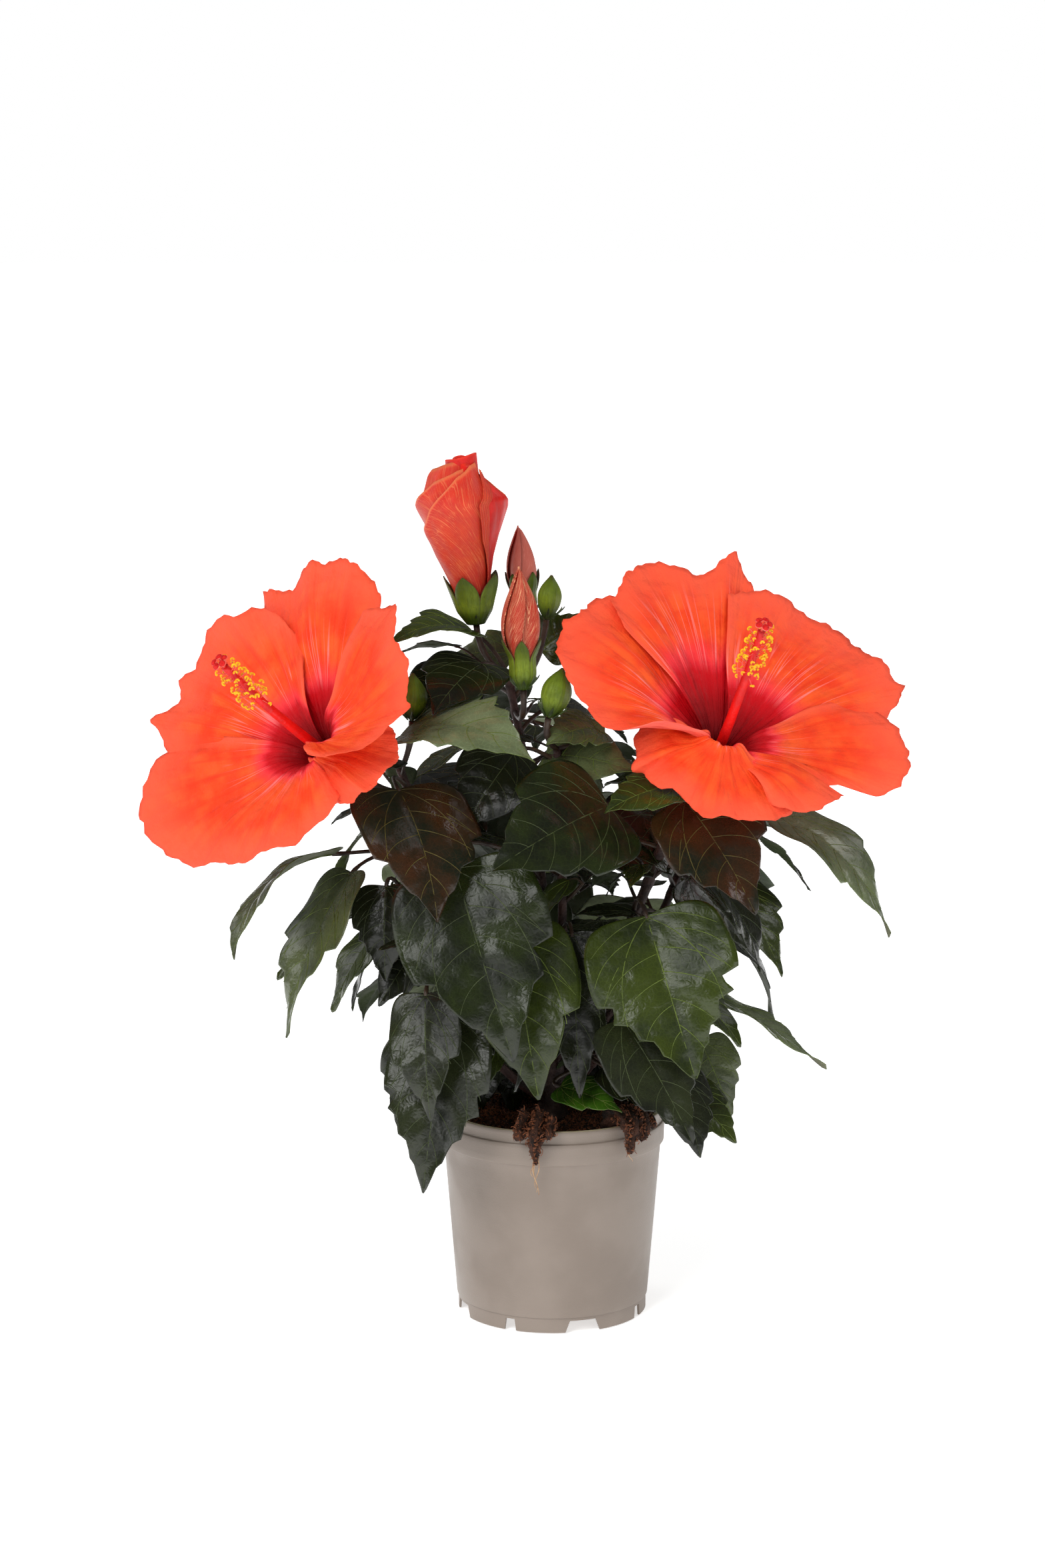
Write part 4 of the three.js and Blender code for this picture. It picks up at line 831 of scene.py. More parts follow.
blooms = {
    # each petal: centre of its foot, how far its margin folds back, its lip over the throat, how high its two
    # sides ride over its neighbours, how soon its crimson ends, and its margin as (turn, reach)
    "left": dict(throat=(-123, -75, 318), axis=(229, 32), shoot="left", at=0.93, petals=[
        dict(foot=24, back=-6, lip=5, sides=(9, 2), stain=1.2, edge=[
            (-36, 20), (-27, 28), (-20, 36), (-12, 45), (-5, 49), (5, 52), (12, 55), (17, 60), (22, 64),
            (28, 61), (33, 64), (37, 68), (41, 71), (48, 69), (54, 69), (60, 78), (66, 82), (74, 77),
            (84, 72)]),
        dict(foot=96, back=0, lip=0, sides=(-2, -1.5), stain=0.95, edge=[
            (78, 60), (82, 74), (86, 84), (93, 94), (99, 100), (105, 104), (109, 101), (113, 106), (118, 105),
            (124, 98), (129, 104), (134, 112), (136, 98), (140, 84)]),
        dict(foot=168, back=-3, lip=0, sides=(1.5, -4), stain=0.98, edge=[
            (120, 58), (128, 82), (136, 97), (141, 95), (145, 104), (149, 109), (153, 111), (159, 103),
            (163, 101), (168, 109), (172, 100), (178, 102), (181, 111), (184, 102), (191, 93), (198, 88),
            (206, 78)]),
        dict(foot=240, back=4, lip=3, sides=(4.5, 1), stain=1.08, edge=[
            (184, 88), (193, 97), (202, 102), (209, 108), (215, 105), (219, 104), (226, 98), (232, 92),
            (238, 87), (242, 79), (251, 73), (260, 69), (269, 63), (277, 59), (287, 58), (291, 52), (298, 47),
            (309, 46), (320, 36)]),
        dict(foot=312, back=10, lip=6, sides=(-1.5, -5), stain=1.4, edge=[
            (298, 30), (306, 33), (315, 38), (322, 41), (330, 43), (336, 49), (344, 48), (354, 49), (364, 47),
            (374, 46), (384, 43), (394, 34)]),
    ]),
    "right": dict(throat=(87, -60, 320), axis=(289, 47), shoot="right", at=1, petals=[
        dict(foot=87, back=0, lip=0, sides=(-1, 2), stain=0.84, edge=[
            (56, 88), (63, 96), (69, 113), (71.5, 125), (77, 111), (82, 104), (85, 108), (90, 112), (94, 118),
            (99, 115), (104, 110), (108, 102), (113, 98), (119, 78)]),
        dict(foot=159, back=2, lip=0, sides=(-2, 7), stain=0.95, edge=[
            (100, 84), (108, 99), (115, 105), (121, 102), (126, 100), (131, 103), (136, 99), (142, 97),
            (146, 92), (149, 86), (152, 81), (155, 78), (160, 72), (167, 70), (172, 65), (176, 58), (178, 46),
            (179, 34)]),
        dict(foot=231, back=12, lip=9, sides=(-2, 1.5), stain=1.5, edge=[
            (148, 36), (158, 42), (168, 45), (176, 45), (183, 45), (188, 50), (192, 52), (194, 44), (198, 45),
            (204, 46), (211, 46), (217, 41), (229, 42), (238, 46), (244, 52), (257, 47), (273, 48), (285, 52),
            (301, 52), (312, 44)]),
        dict(foot=303, back=6, lip=4, sides=(-1.5, 2.5), stain=1.1, edge=[
            (288, 44), (297, 54), (306, 62), (318, 66), (324, 68), (328, 58), (331, 62), (333.5, 86),
            (337, 94), (343, 98), (349, 98), (356, 94), (362, 90), (374, 84)]),
        dict(foot=375, back=2, lip=0, sides=(-1.5, 1.5), stain=0.9, edge=[
            (354, 78), (363, 90), (369, 104), (373, 111), (376, 105), (381, 108), (384, 105), (389, 107),
            (398, 109), (407, 108), (415, 107), (425, 101), (434, 90)]),
    ]),
}
corolla = {
    "tubeRadius": 3.6, "flare": 2.1, "depth": 30, "rise": 36, "steepness": 2.6, "throatFloor": 5, "turns": 36,
}
columnShape = {"length": 98, "radius": (2.9, 1.9), "lean": 6, "share": 0.34}
calyxShape = {  # a bloom's: its radii stand at heights, as shares of its length
    "sepals": 5, "length": 19, "heights": (0, 0.22, 0.6, 1), "radii": (3.4, 6.8, 8.5, 9.35), "below": 7,
    "bracts": 11,
}


def bloomAxes(bloom):  # out along its column, and two across, the first of them level
    out = heading(*bloom["axis"])
    level = unit(np.cross(vec(0, 0, 1), out))
    return out, level, np.cross(out, level)


def spun(u, w, angle, radius):  # steps away from an axis, by two directions across it
    return (u * np.cos(angle)[..., None] + w * np.sin(angle)[..., None]) * np.asarray(radius)[..., None]


def bloomPoint(bloom, turn, radius, high):
    out, level, rise = bloomAxes(bloom)
    foot = vec(*bloom["throat"]) + spun(level, rise, np.radians(turn), radius)
    return foot + out * np.asarray(high)[..., None]


def calyxSeat(bloom):
    return vec(*bloom["throat"]) - bloomAxes(bloom)[0] * (corolla["depth"] + calyxShape["below"])


def petalEdge(petal, u):
    # turn and reach of a petal's margin at shares u of its length, -1 to 1, its corners eased
    turn, reach = np.array(petal["edge"], float).T
    steps = np.hypot(np.diff(reach), np.radians(np.diff(turn)) * reach[1:])
    along = np.concatenate([[0], np.cumsum(steps)]) / steps.sum() * 2 - 1
    fine = np.linspace(-1, 1, 401)
    ease = np.hanning(petalLap["easing"])
    ends = len(ease) // 2
    eased = [np.convolve(np.pad(np.interp(fine, along, line), ends, "edge"), ease / ease.sum(), "valid")
             for line in (turn, reach)]
    return np.interp(u, fine, eased[0]), np.interp(u, fine, eased[1])


def reachAt(bloom, turn):  # how far the whole corolla reaches, and folds back, at each turn
    reach, back = np.zeros(len(turn)), np.zeros(len(turn))
    for petal in bloom["petals"]:
        knots = np.array(petal["edge"], float)
        for whole in (-360, 0, 360):
            here = np.interp(turn + whole, knots[:, 0], knots[:, 1], 0, 0)
            back = np.where(here > reach, petal["back"], back)
            reach = np.maximum(reach, here)
    return reach, back


def corollaHigh(t, back):
    return -corolla["depth"] + corolla["rise"] * (1 - np.exp(-corolla["steepness"] * t)) - back * t ** 4


def corollaPoint(bloom, turn, t):
    reach, back = reachAt(bloom, turn)
    radius = corolla["tubeRadius"] + (reach - corolla["tubeRadius"]) * t ** corolla["flare"]
    return bloomPoint(bloom, turn, radius, corollaHigh(t, back))


def columnAt(bloom, t):
    out, _, rise = bloomAxes(bloom)
    foot = vec(*bloom["throat"]) + out * (-corolla["depth"] + corolla["throatFloor"] + clearance)
    tip = foot + out * columnShape["length"] + rise * columnShape["lean"]
    return bezier(foot, foot + out * columnShape["length"] * 0.55, tip, t)


# Buds

buds = {
    "opening": dict(seat=(-40, -10, 370), tip=(-47, -12, 458), girth=23.5, fullest=0.62, base=1.05, top=0.5,
                    ridge=0.13, twist=1.4, mouth=0.55, seatShare=0.08, cup=0.3, cupTurn=0.61, shoot="centre",
                    at=0.985),
    "coral_front": dict(seat=(-15.5, -40, 340), tip=(-18, -43, 403.5), girth=10.5, fullest=0.45, base=0.7,
                        top=0.8, ridge=0.05, twist=1.2, seatShare=0.1, cup=0.42, cupReach=6.6, cupTurn=0.94,
                        shoot="centre", at=0.9, furl=dict(girth=9.6, fullest=0.52, base=1.6, top=1.1)),
    "coral_back": dict(seat=(-14, 8, 372), tip=(-18.5, 6, 420), girth=9.5, fullest=0.45, base=0.7, top=0.7,
                       ridge=0.05, twist=0.8, seatShare=0.1, cup=0.5, cupReach=6, cupTurn=0.35,
                       shoot="centre", at=0.96, furl=dict(girth=7.6, fullest=0.5, base=1.3, top=1.0)),
    "green_top": dict(seat=(-3.6, -5, 372), tip=(-0.8, -5, 395.5), girth=6.8, fullest=0.5, base=0.6, top=0.8,
                      ridge=0.1, twist=0, cup=0, shoot="centre", at=0.93, furl=dict(girth=5.9, top=1.0)),
    "green_left": dict(seat=(-73, -33, 323), tip=(-72.4, -35, 348), girth=7.6, fullest=0.5, base=0.6, top=0.8,
                       ridge=0.1, twist=0, cup=0, shoot="left", at=0.99, furl=dict(girth=6.9, top=1.0)),
    "green_right": dict(seat=(-2.6, -45, 326), tip=(4.6, -45, 352), girth=8, fullest=0.5, base=0.6, top=0.8,
                        ridge=0.1, twist=0, cup=0, shoot="front", at=1, furl=dict(girth=7.3, top=1.0)),
}
potShape = {
    "topRadius": 60, "lipRadius": 58.7, "innerTopRadius": 56.4, "height": 111, "lipHeight": 6.5,
    "collarHeight": 11.5, "wallTopRadius": 58, "seamRadius": 51.2, "seamHeight": 8, "footRadius": 50.4,
    "wall": 1.2, "padRadius": 13, "floorHeight": 8, "sides": 144,
}


def budFrame(bud):  # a bud's direction and two across it
    along = unit(vec(*bud["tip"]) - vec(*bud["seat"]))
    u = unit(np.cross(vec(1, 0, 0) if abs(along[1]) > 0.9 else vec(0, 1, 0), along))
    return along, u, np.cross(along, u)


def budLine(bud, h):  # points of a bud's axis at shares of its height
    return vec(*bud["seat"]) + (vec(*bud["tip"]) - vec(*bud["seat"])) * np.asarray(h)[..., None]


def budRadius(bud, h):
    swell = np.sin(np.pi / 2 * np.clip(h / bud["fullest"], 0, 1)) ** bud["base"]
    falling = np.cos(np.pi / 2 * np.clip((h - bud["fullest"]) / (1 - bud["fullest"]), 0, 1)) ** bud["top"]
    shape = np.where(h < bud["fullest"], swell, np.maximum(bud.get("mouth", 0), falling))
    return np.maximum(0.4, bud["girth"] * shape)


def budPoint(bud, h, angle, radius):
    return budLine(bud, h) + spun(*budFrame(bud)[1:], angle, radius)


def pedicelEnds(owner, seat, axis):
    root = shootAt(owner["shoot"], vec(owner["at"]))[0]
    end = seat - axis * clearance
    return root, end - axis * 0.55 * np.linalg.norm(root - end), end


def pedicels():
    found = [(bloom, calyxSeat(bloom), bloomAxes(bloom)[0]) for bloom in blooms.values()]
    found += [(bud, vec(*bud["seat"]), budFrame(bud)[0]) for bud in buds.values()]
    return [(owner["shoot"], pedicelEnds(owner, seat, axis)) for owner, seat, axis in found]


# Growing the plant, in the order of the solids

def placesTaken(leaves, stalks):
    taken = Taken()
    for name in shoots:
        taken.add(name, shootAt(name, steps(0, 24)))
    for owner, ends in stalks:
        taken.add(owner, bezier(*ends, steps(0, 6)))
    turns = np.arange(corolla["turns"]) * (360 / corolla["turns"])
    for bloom in blooms.values():
        for t in (0.3, 0.5, 0.7, 0.85, 1):
            taken.add("", corollaPoint(bloom, turns, np.full(len(turns), t)))
        taken.add("", columnAt(bloom, steps(0.3, 10)))
    for bud in buds.values():
        for h in np.arange(9) * 0.125:
            angles = np.arange(8) * np.pi / 4
            taken.add("", budPoint(bud, np.full(8, h), angles, np.full(8, budRadius(bud, h))))
    for name, grown in leaves.items():
        for leaf in grown:
            taken.add(name, leafDots(leaf))
            taken.add(name, stalkAt(leaf, steps(0.2, 5)))
    return taken


stalks = pedicels()
leaves = {name: [] for name in shoots}
for name, specs in frontLeaves.items():
    for at, stalk, blade, size, curl, tint in specs:
        leaves[name].append(makeLeaf(shootAt(name, vec(at))[0], stalk, blade, size, curl, tint))
# the dark leaves that stand in for the shade between the crown and the soil
shadeFill = [makeLeaf(shootAt("back", vec(at))[0], *rest) for at, *rest in shadeFillLeaves]
taken = placesTaken(leaves, stalks)
for name in shoots:
    leaves[name] += growLeaves(name, taken)
grownCount = sum(len(found) for found in leaves.values())
twigs = {}
lowCorner, highCorner = [np.array(corner) / mm for corner in cadBox]
for name in shoots:
    twigs[name], young = growTwigs(name, taken, lowCorner, highCorner)
    for leaf in young:
        leaf["young"] = True
    leaves[name] += young
leaves["back"] += shadeFill
youngCount = sum(len(found) for found in leaves.values()) - grownCount
print("leaves grown:", grownCount, "and", youngCount, "young ones")


# Blades with teeth, quilting and veins

bladeLook = {
    "thick": 0.42, "columns": 29, "youngColumns": 9, "teethFrom": 0.46, "teethTo": 0.9, "toothDepth": 0.17,
    "toothOut": 0.05, "quilt": 0.011, "quiltReach": 0.06, "wave": 0.03, "ribRadius": (0.52, 0.22),
    "sideRadius": (0.35, 0.17), "fineRadius": (0.25, 0.14), "proud": 0.2, "marginRadius": 0.18, "seed": 7,
}


def teeth(chance, young):  # one side's margin: where it juts and is cut, and by how much, along the blade
    look = bladeLook
    count = 2 + int(1.6 * next(chance)) if young else 2 + int(2.4 * next(chance))
    start = look["teethFrom"] + 0.08 * (next(chance) - 0.5)
    ends = start + (look["teethTo"] - start) * ((np.arange(count) + 0.75) / count) ** 0.9
    marks = [(0, 0), (start - 0.1, 0)]
    for k, end in enumerate(ends):
        bite = look["toothDepth"] * (0.6 + 0.8 * next(chance)) * (1.1 - 0.45 * k / count)
        marks += [(end - 0.012, look["toothOut"]), (end, -bite * 0.4)]
        marks += [(end + 0.012, -bite), (end + 0.05, -bite * 0.62)]
    return marks + [(0.985, -0.05), (1, 0)]


def bladeRows(chance, young):  # the rows of a blade, and the cut of its two sides at each
    sides = [np.array(teeth(chance, young)) for _ in (0, 1)]
    plain, upper = np.linspace(0.004, 0.4, 5), [0.94, 0.97, 0.997]
    if not young:
        plain = np.concatenate([[0.004, 0.015, 0.035], np.linspace(0.06, 0.44, 13)])
        upper = np.append(np.linspace(0.5, 0.975, 13), 0.997)
    rows = np.concatenate([plain, *[side[2:-2, 0] for side in sides], upper])
    rows = np.unique(rows.round(3))
    rows = rows[np.concatenate([[True], np.diff(rows) > 0.005])]
    return rows, np.stack([np.interp(rows, *side.T) for side in sides], -1)


def halfWidths(leaf):  # the blade's half width at each share of its length
    s = np.linspace(0.1, 1, 60)
    along, out = marginAt(s)
    return lambda t: np.interp(t, along, out * leaf["size"][1] / 2)


def veinPaths(leaf, half, young):  # flat paths in millimetres, each with its radius at both ends
    length = leaf["size"][0]
    scale = min(1.15, (length / 80) ** 0.5)
    rib, side, fine = bladeLook["ribRadius"], bladeLook["sideRadius"], bladeLook["fineRadius"]
    t = np.linspace(0, 1, 7 if young else 12)
    paths = [(np.stack([t * 0.97 * length, t * 0], -1), rib)]

    def arc(a, b, c, radius):
        flat = [vec(x * length, y) for x, y in (a, b, c)]
        paths.append((bezier(*flat, t), radius))

    for hand in (-1, 1):
        shoulder = hand * 0.9 * half(0.6)
        arc((0.012, 0), (0.24, hand * 0.66 * half(0.3)), (0.6, shoulder), side)
        if young:
            continue
        arc((0.01, 0), (0.02, hand * 0.5 * half(0.15)), (0.17, hand * 0.9 * half(0.17)), fine)
        for k, start in enumerate((0.22, 0.37, 0.53, 0.69)):
            end = min(0.96, start + 0.21 - 0.02 * k)
            arc((start + 0.02 * hand, 0), (start + 0.055, hand * 0.6 * half(end)),
                (end, hand * 0.9 * half(end)), fine)
        for start, end in ((0.13, 0.34), (0.26, 0.45)):  # outer branches of the strong side vein
            out = half(end) * 0.95
            arc((start, hand * 0.62 * half(0.3) * (start / 0.3) ** 0.8), (start + 0.05, hand * 0.78 * out),
                (end, hand * out), fine)
    return [(path, np.multiply(radius, scale)) for path, radius in paths]


def growBlade(skin, veins, leaf, chance):
    look = bladeLook
    young = leaf.get("young", False)
    length = leaf["size"][0]
    rows, cuts = bladeRows(chance, young)
    phase = 6.28 * next(chance)
    half = halfWidths(leaf)
    v = np.linspace(1, -1, look["youngColumns" if young else "columns"])
    v = np.sign(v) * np.abs(v) ** 0.9
    s, v = np.meshgrid(rows, v, indexing="ij")
    t, out = bladeMap(leaf, s, v)
    out = out * (1 + np.where(v > 0, cuts[:, :1], cuts[:, 1:]) * np.abs(v) ** 3)
    paths = veinPaths(leaf, half, young)
    flat = np.stack([t * length, out], -1).reshape(-1, 2)
    lines = np.concatenate([path for path, _ in paths])
    near = np.sqrt(((flat[:, None] - lines[None]) ** 2).sum(-1).min(1)).reshape(t.shape)
    puff = look["quilt"] * length * (1 - hump(near, 0, look["quiltReach"] * length))
    side = np.clip(np.abs(out) / np.maximum(half(t), 1), 0, 1)
    wave = look["wave"] * length * side ** 2 * np.sin(9 * t + phase + np.sign(out)) * smooth(t, 0.02, 0.3)
    lift = wave + puff * (1 - 0.8 * np.abs(v) ** 6)
    grid = bladePoint(leaf, t, out, lift)
    tintAt = list(leafTints).index(leaf["tint"]) * 2
    addSheet(skin, grid, np.full(t.shape, look["thick"]), np.stack([v / 2 + 0.5, s], -1),
        (tintAt, tintAt + 1, tintAt))
    kind = veins[leafTints[leaf["tint"]][3]]
    for path, ends in paths:
        apart = ((path[:, None] - flat[None]) ** 2).sum(-1)
        closest = np.argsort(apart, 1)[:, :4]
        weight = 1 / (np.take_along_axis(apart, closest, 1) + 0.3)
        under = (lift.ravel()[closest] * weight).sum(1) / weight.sum(1)
        radii = np.linspace(*ends, len(path))
        top = look["thick"] / 2 + look["proud"] - radii
        kind.add(*tube(bladePoint(leaf, path[:, 0] / length, path[:, 1], under + top), radii, 5))
    if not young and leafTints[leaf["tint"]][3] == "pale":
        for column in (0, -1):
            toothed = rows > look["teethFrom"] - 0.04
            kind.add(*tube(grid[toothed, column], look["marginRadius"], 3))


def nodeName(kind, name):
    return kind + "_" + "".join("_" + c.lower() if c.isupper() else c for c in name)


veins = {kind: Skin() for kind in veinColours}
chance = randomFrom(bladeLook["seed"])
tintFinishes = [finishes[tint + side] for tint in leafTints for side in ("", "Under")]
for name, grown in leaves.items():
    skin = Skin()
    for leaf in grown:
        growBlade(skin, veins, leaf, chance)
    place(skin.piece("leaves_" + nodeName("on", name), tintFinishes), "foliage", nodeName("foliage", name))
masses = [nodeName("foliage", name) for name in shoots]
for kind, skin in veins.items():
    place(skin.piece("veins_" + kind, [finishes[kind]]), "foliage", *masses)
print("blades and veins made")


# Stalks, side twigs and flower stalks

stalkLook = {  # thin at the leaf, with a swelling at both ends; a flower stalk has one joint
    "radius": (1.25, 0.95), "young": 0.55, "knee": 0.35, "kneeAt": 0.93, "twig": (1.1, 0.8),
    "pedicel": (1.4, 1.7), "joint": 0.5, "jointAt": 0.6,
}


def growStalks():
    look = stalkLook
    skin = Skin()
    t = np.linspace(0, 1, 12)
    for name, grown in leaves.items():
        for leaf in grown:
            size = look["young"] if leaf.get("young") else 1.0
            radii = mix(*look["radius"], t) * size
            radii = radii + look["knee"] * size * (hump(t, look["kneeAt"], 0.06) + hump(t, 0, 0.05))
            points = stalkAt(leaf, t * 0.97)
            skin.add(*tube(points, radii, 8))
    for name, found in twigs.items():
        for ends in found:
            skin.add(*tube(bezier(*ends, t), mix(*look["twig"], t), 8))
    for owner, ends in stalks:
        wide = mix(*look["pedicel"], t) + look["joint"] * hump(t, look["jointAt"], 0.05)
        skin.add(*tube(bezier(*ends, t), wide, 12))
    return skin.piece("stalks", [finishes["stalk"]])


place(growStalks(), "bark", *masses)


# Trunk and boughs, in one skin of bark

trunkShape = {
    "foot": (0, 4, 103.6), "top": (0, 4, 152), "radii": (9, 7.2, 6.4, 6.05, 4.5),
    "shares": (0, 0.1, 0.3, 0.93, 1),
}
barkLook = {
    "flare": 0.16, "swell": 1.35, "ridge": 0.05, "knots": 0.2, "knotReach": 0.012, "sides": 28, "rings": 90,
}


def barkRelief(points, turns, seed):  # each ring's outline: ridges that wander up the limb
    high = np.linalg.norm(points - points[0], axis=1)[:, None]
    wander = 1.2 * np.sin(high / 11 + seed)
    ridges = 0.6 * np.sin(5 * turns + wander) + 0.35 * np.sin(9 * turns - 2 * wander)
    return 1 + barkLook["ridge"] * (ridges + 0.3 * np.sin(14 * turns + high / 3))


def growBark():
    look = barkLook
    skin = Skin()
    turns = ringTurns(look["sides"])
    t = np.linspace(0, 1, 60)
    points = mix(vec(*trunkShape["foot"]), vec(*trunkShape["top"]), t[:, None])
    radii = np.interp(t, trunkShape["shares"], trunkShape["radii"])
    flare = 1 + look["flare"] * np.interp(t, [0, 0.2, 1], [1, 0.2, 0.2])[:, None] * np.cos(3 * turns + 1)
    skin.add(*tube(points, radii, look["sides"], flare * barkRelief(points, turns, 0)))
    for k, (name, s) in enumerate(shoots.items()):
        t = np.linspace(0, 1, look["rings"])
        points = shootAt(name, t)
        radii = mix(*s["radius"], t)
        for leaf in leaves[name]:
            at = t[np.argmin(np.linalg.norm(points - leaf["root"], axis=1))]
            knot = look["knots"] * hump(t, at, look["knotReach"])
            radii = radii * (1 + knot * (not leaf.get("young")))
        radii = np.minimum(radii, mix(*s["radius"], t) * look["swell"])
        skin.add(*tube(points, radii, look["sides"], barkRelief(points, turns, k + 1)))
    return skin.piece("bark", [finishes["bark"]])


place(growBark(), "bark", "trunk", *[nodeName("bough", name) for name in shoots], *masses)
print("limbs and stalks made")


# Petals, each a ruffled sheet that laps over the next

petalLap = {
    "thick": 0.55, "rows": 46, "columns": 65, "half": 46, "ruffle": 3.3, "frill": 1.5, "pleat": 0.22,
    "roll": 1.9, "jag": 0.006, "easing": 13, "turnFrom": 0.12, "turnTo": 0.8, "lipAt": 0.42, "lipWide": 0.15,
    "curl": 3.0,
}


def petalGrid(bloom, petal, chance):
    look = petalLap
    t, u = np.meshgrid(np.linspace(0, 1, look["rows"]) ** 0.85, np.linspace(-1, 1, look["columns"]),
        indexing="ij")
    phases = [6.28 * next(chance) for _ in range(8)]
    edgeTurn, reach = petalEdge(petal, u[0])
    reach = reach * (1 + look["jag"] * (np.sin(43 * u[0] + phases[0]) + np.sin(71 * u[0] + phases[1])))
    turn = mix(petal["foot"] + u * look["half"], edgeTurn, smooth(t, look["turnFrom"], look["turnTo"]))
    radius = corolla["tubeRadius"] + (reach - corolla["tubeRadius"]) * t ** corolla["flare"]
    low, up = [side * smooth(way * u, 0.1, 1) for side, way in zip(petal["sides"], (-1, 1))]
    high = corollaHigh(t, petal["back"]) + (low + up) * smooth(t, 0.15, 0.5)
    high = high + petal["lip"] * hump(t, look["lipAt"], look["lipWide"])
    high = high + look["ruffle"] * np.sin(5.2 * u + phases[3]) * t ** 5
    high = high + look["frill"] * np.sin(15 * u + phases[4]) * t ** 9
    high = high + look["pleat"] * np.sin(29 * u + phases[5] + 2 * t) * smooth(t, 0.25, 0.6)
    high = high + look["roll"] * np.sin(7 * t + 3 * u + phases[6]) * smooth(t, 0.4, 0.8)
    high = high - look["curl"] * smooth(t, 0.86, 1) * np.sin(3.1 * u + phases[7]) ** 2
    return bloomPoint(bloom, turn, radius, high), np.stack([u / 2 + 0.5, t], -1)


def makePetals(name, bloom, seed):
    chance = randomFrom(seed)
    skin = Skin()
    for petal in bloom["petals"]:
        grid, uv = petalGrid(bloom, petal, chance)
        thick = petalLap["thick"] * (1 - 0.6 * uv[..., 1] ** 3)
        addSheet(skin, grid, thick, uv, (0, 1, 0), petal["stain"])
    place(skin.piece("petals_" + name, [finishes["petalFace"], finishes["petalBack"]]), "petals",
        "petals_" + name)


for seed, (name, bloom) in enumerate(blooms.items()):
    makePetals(name, bloom, 41 + 6 * seed)
print("petals made")


# Columns: stamens set on by geometry nodes, and stigmas

stamenLook = {"filament": 5.2, "filamentRadius": 0.2, "anther": 0.9, "gap": 1.5, "seed": 3, "lean": 0.5,
              "density": 600000.0,
              "stigmas": (3.0, 5.0, 1.75)}  # how far out and up they stand, and their radius


spreadInputs = {  # what a tree that strews copies can be told
    "Gap": "Float", "Seed": "Int", "Length": "Float", "Size": "Float", "Lean": "Vector", "Finish": "Material",
}


def spreadTree(name, density, makeShape, makeTurns):
    # sets copies of one shape on spots strewn over a surface
    tree = bpy.data.node_groups.new(name, "GeometryNodeTree")

    def socket(label, kind, end="INPUT"):
        return tree.interface.new_socket(label, in_out=end, socket_type="NodeSocket" + kind).identifier

    socket("Geometry", "Geometry")
    keys = {label: socket(label, kind) for label, kind in spreadInputs.items()}
    socket("Geometry", "Geometry", "OUTPUT")
    given = tree.nodes.new("NodeGroupInput").outputs
    spots = node(tree, "GeometryNodeDistributePointsOnFaces", {
        "Mesh": given["Geometry"], "Distance Min": given["Gap"], "Density Max": density,
        "Seed": given["Seed"]},
        distribute_method="POISSON").outputs
    turns, sizes = makeTurns(tree, given, spots["Normal"])
    copies = node(tree, "GeometryNodeInstanceOnPoints", {
        "Points": spots["Points"], "Instance": makeShape(tree, given), "Rotation": turns, "Scale": sizes})
    real = node(tree, "GeometryNodeRealizeInstances", {"Geometry": copies.outputs[0]})
    done = node(tree, "GeometryNodeSetMaterial", {"Geometry": real.outputs[0], "Material": given["Finish"]})
    tree.links.new(done.outputs[0], tree.nodes.new("NodeGroupOutput").inputs[0])
    return tree, keys


def chances(tree, given, low, high):
    return node(tree, "FunctionNodeRandomValue",
                {"Min": (low,) * 3, "Max": (high,) * 3, "Seed": given["Seed"]},
                data_type="FLOAT_VECTOR").outputs["Value"]


def leaningTurns(tree, given, normal):  # out of the surface, leaning to one side
    toward = vectors(tree, "ADD", {0: normal, 1: given["Lean"]})
    swung = vectors(tree, "ADD", {0: toward, 1: chances(tree, given, -0.35, 0.35)})
    facing = node(tree, "FunctionNodeAlignRotationToVector", {"Vector": swung}, axis="Z").outputs[0]
    return facing, node(tree, "FunctionNodeRandomValue", {2: 0.7, 3: 1.15, "Seed": given["Seed"]}).outputs[1]


def looseTurns(tree, given, normal):  # any way round
    return chances(tree, given, 0.0, 6.28), chances(tree, given, 0.5, 1.5)


def thread(tree, line, sides, radius):
    ring = node(tree, "GeometryNodeCurvePrimitiveCircle", {"Resolution": sides, "Radius": radius}).outputs[0]
    return node(tree, "GeometryNodeCurveToMesh", {
        "Curve": line, "Profile Curve": ring, "Fill Caps": True}).outputs[0]


def filamentShape(tree, given):
    line = node(tree, "GeometryNodeCurvePrimitiveLine", {"End": joined(tree, z=given["Length"])}).outputs[0]
    bent = node(tree, "GeometryNodeResampleCurve", {"Curve": line, "Count": 4}).outputs[0]
    return thread(tree, bent, 5, given["Size"])


def antherShape(tree, given):  # a bent bean at the end of its filament
    arc = node(tree, "GeometryNodeCurveArc", {"Resolution": 7, "Radius": given["Size"], "Sweep Angle": 4.0})
    bean = thread(tree, arc.outputs[0], 6, times(tree, given["Size"], 0.62))
    return node(tree, "GeometryNodeTransform", {
        "Geometry": bean, "Translation": joined(tree, z=given["Length"]),
        "Rotation": (0.4, 0.0, 0.0)}).outputs[0]


def grownMesh(name, base, tree, keys, material, **values):
    # runs a node tree over a mesh and keeps what it makes
    modifier = base.modifiers.new(name, "NODES")
    modifier.node_group = tree
    for key, value in values.items():
        modifier[keys[key]] = value
    modifier[keys["Finish"]] = material
    depsgraph = bpy.context.evaluated_depsgraph_get()
    mesh = bpy.data.meshes.new_from_object(base.evaluated_get(depsgraph))
    base.modifiers.remove(modifier)
    mesh.name = name
    mesh.shade_smooth()
    return shown(name, mesh)


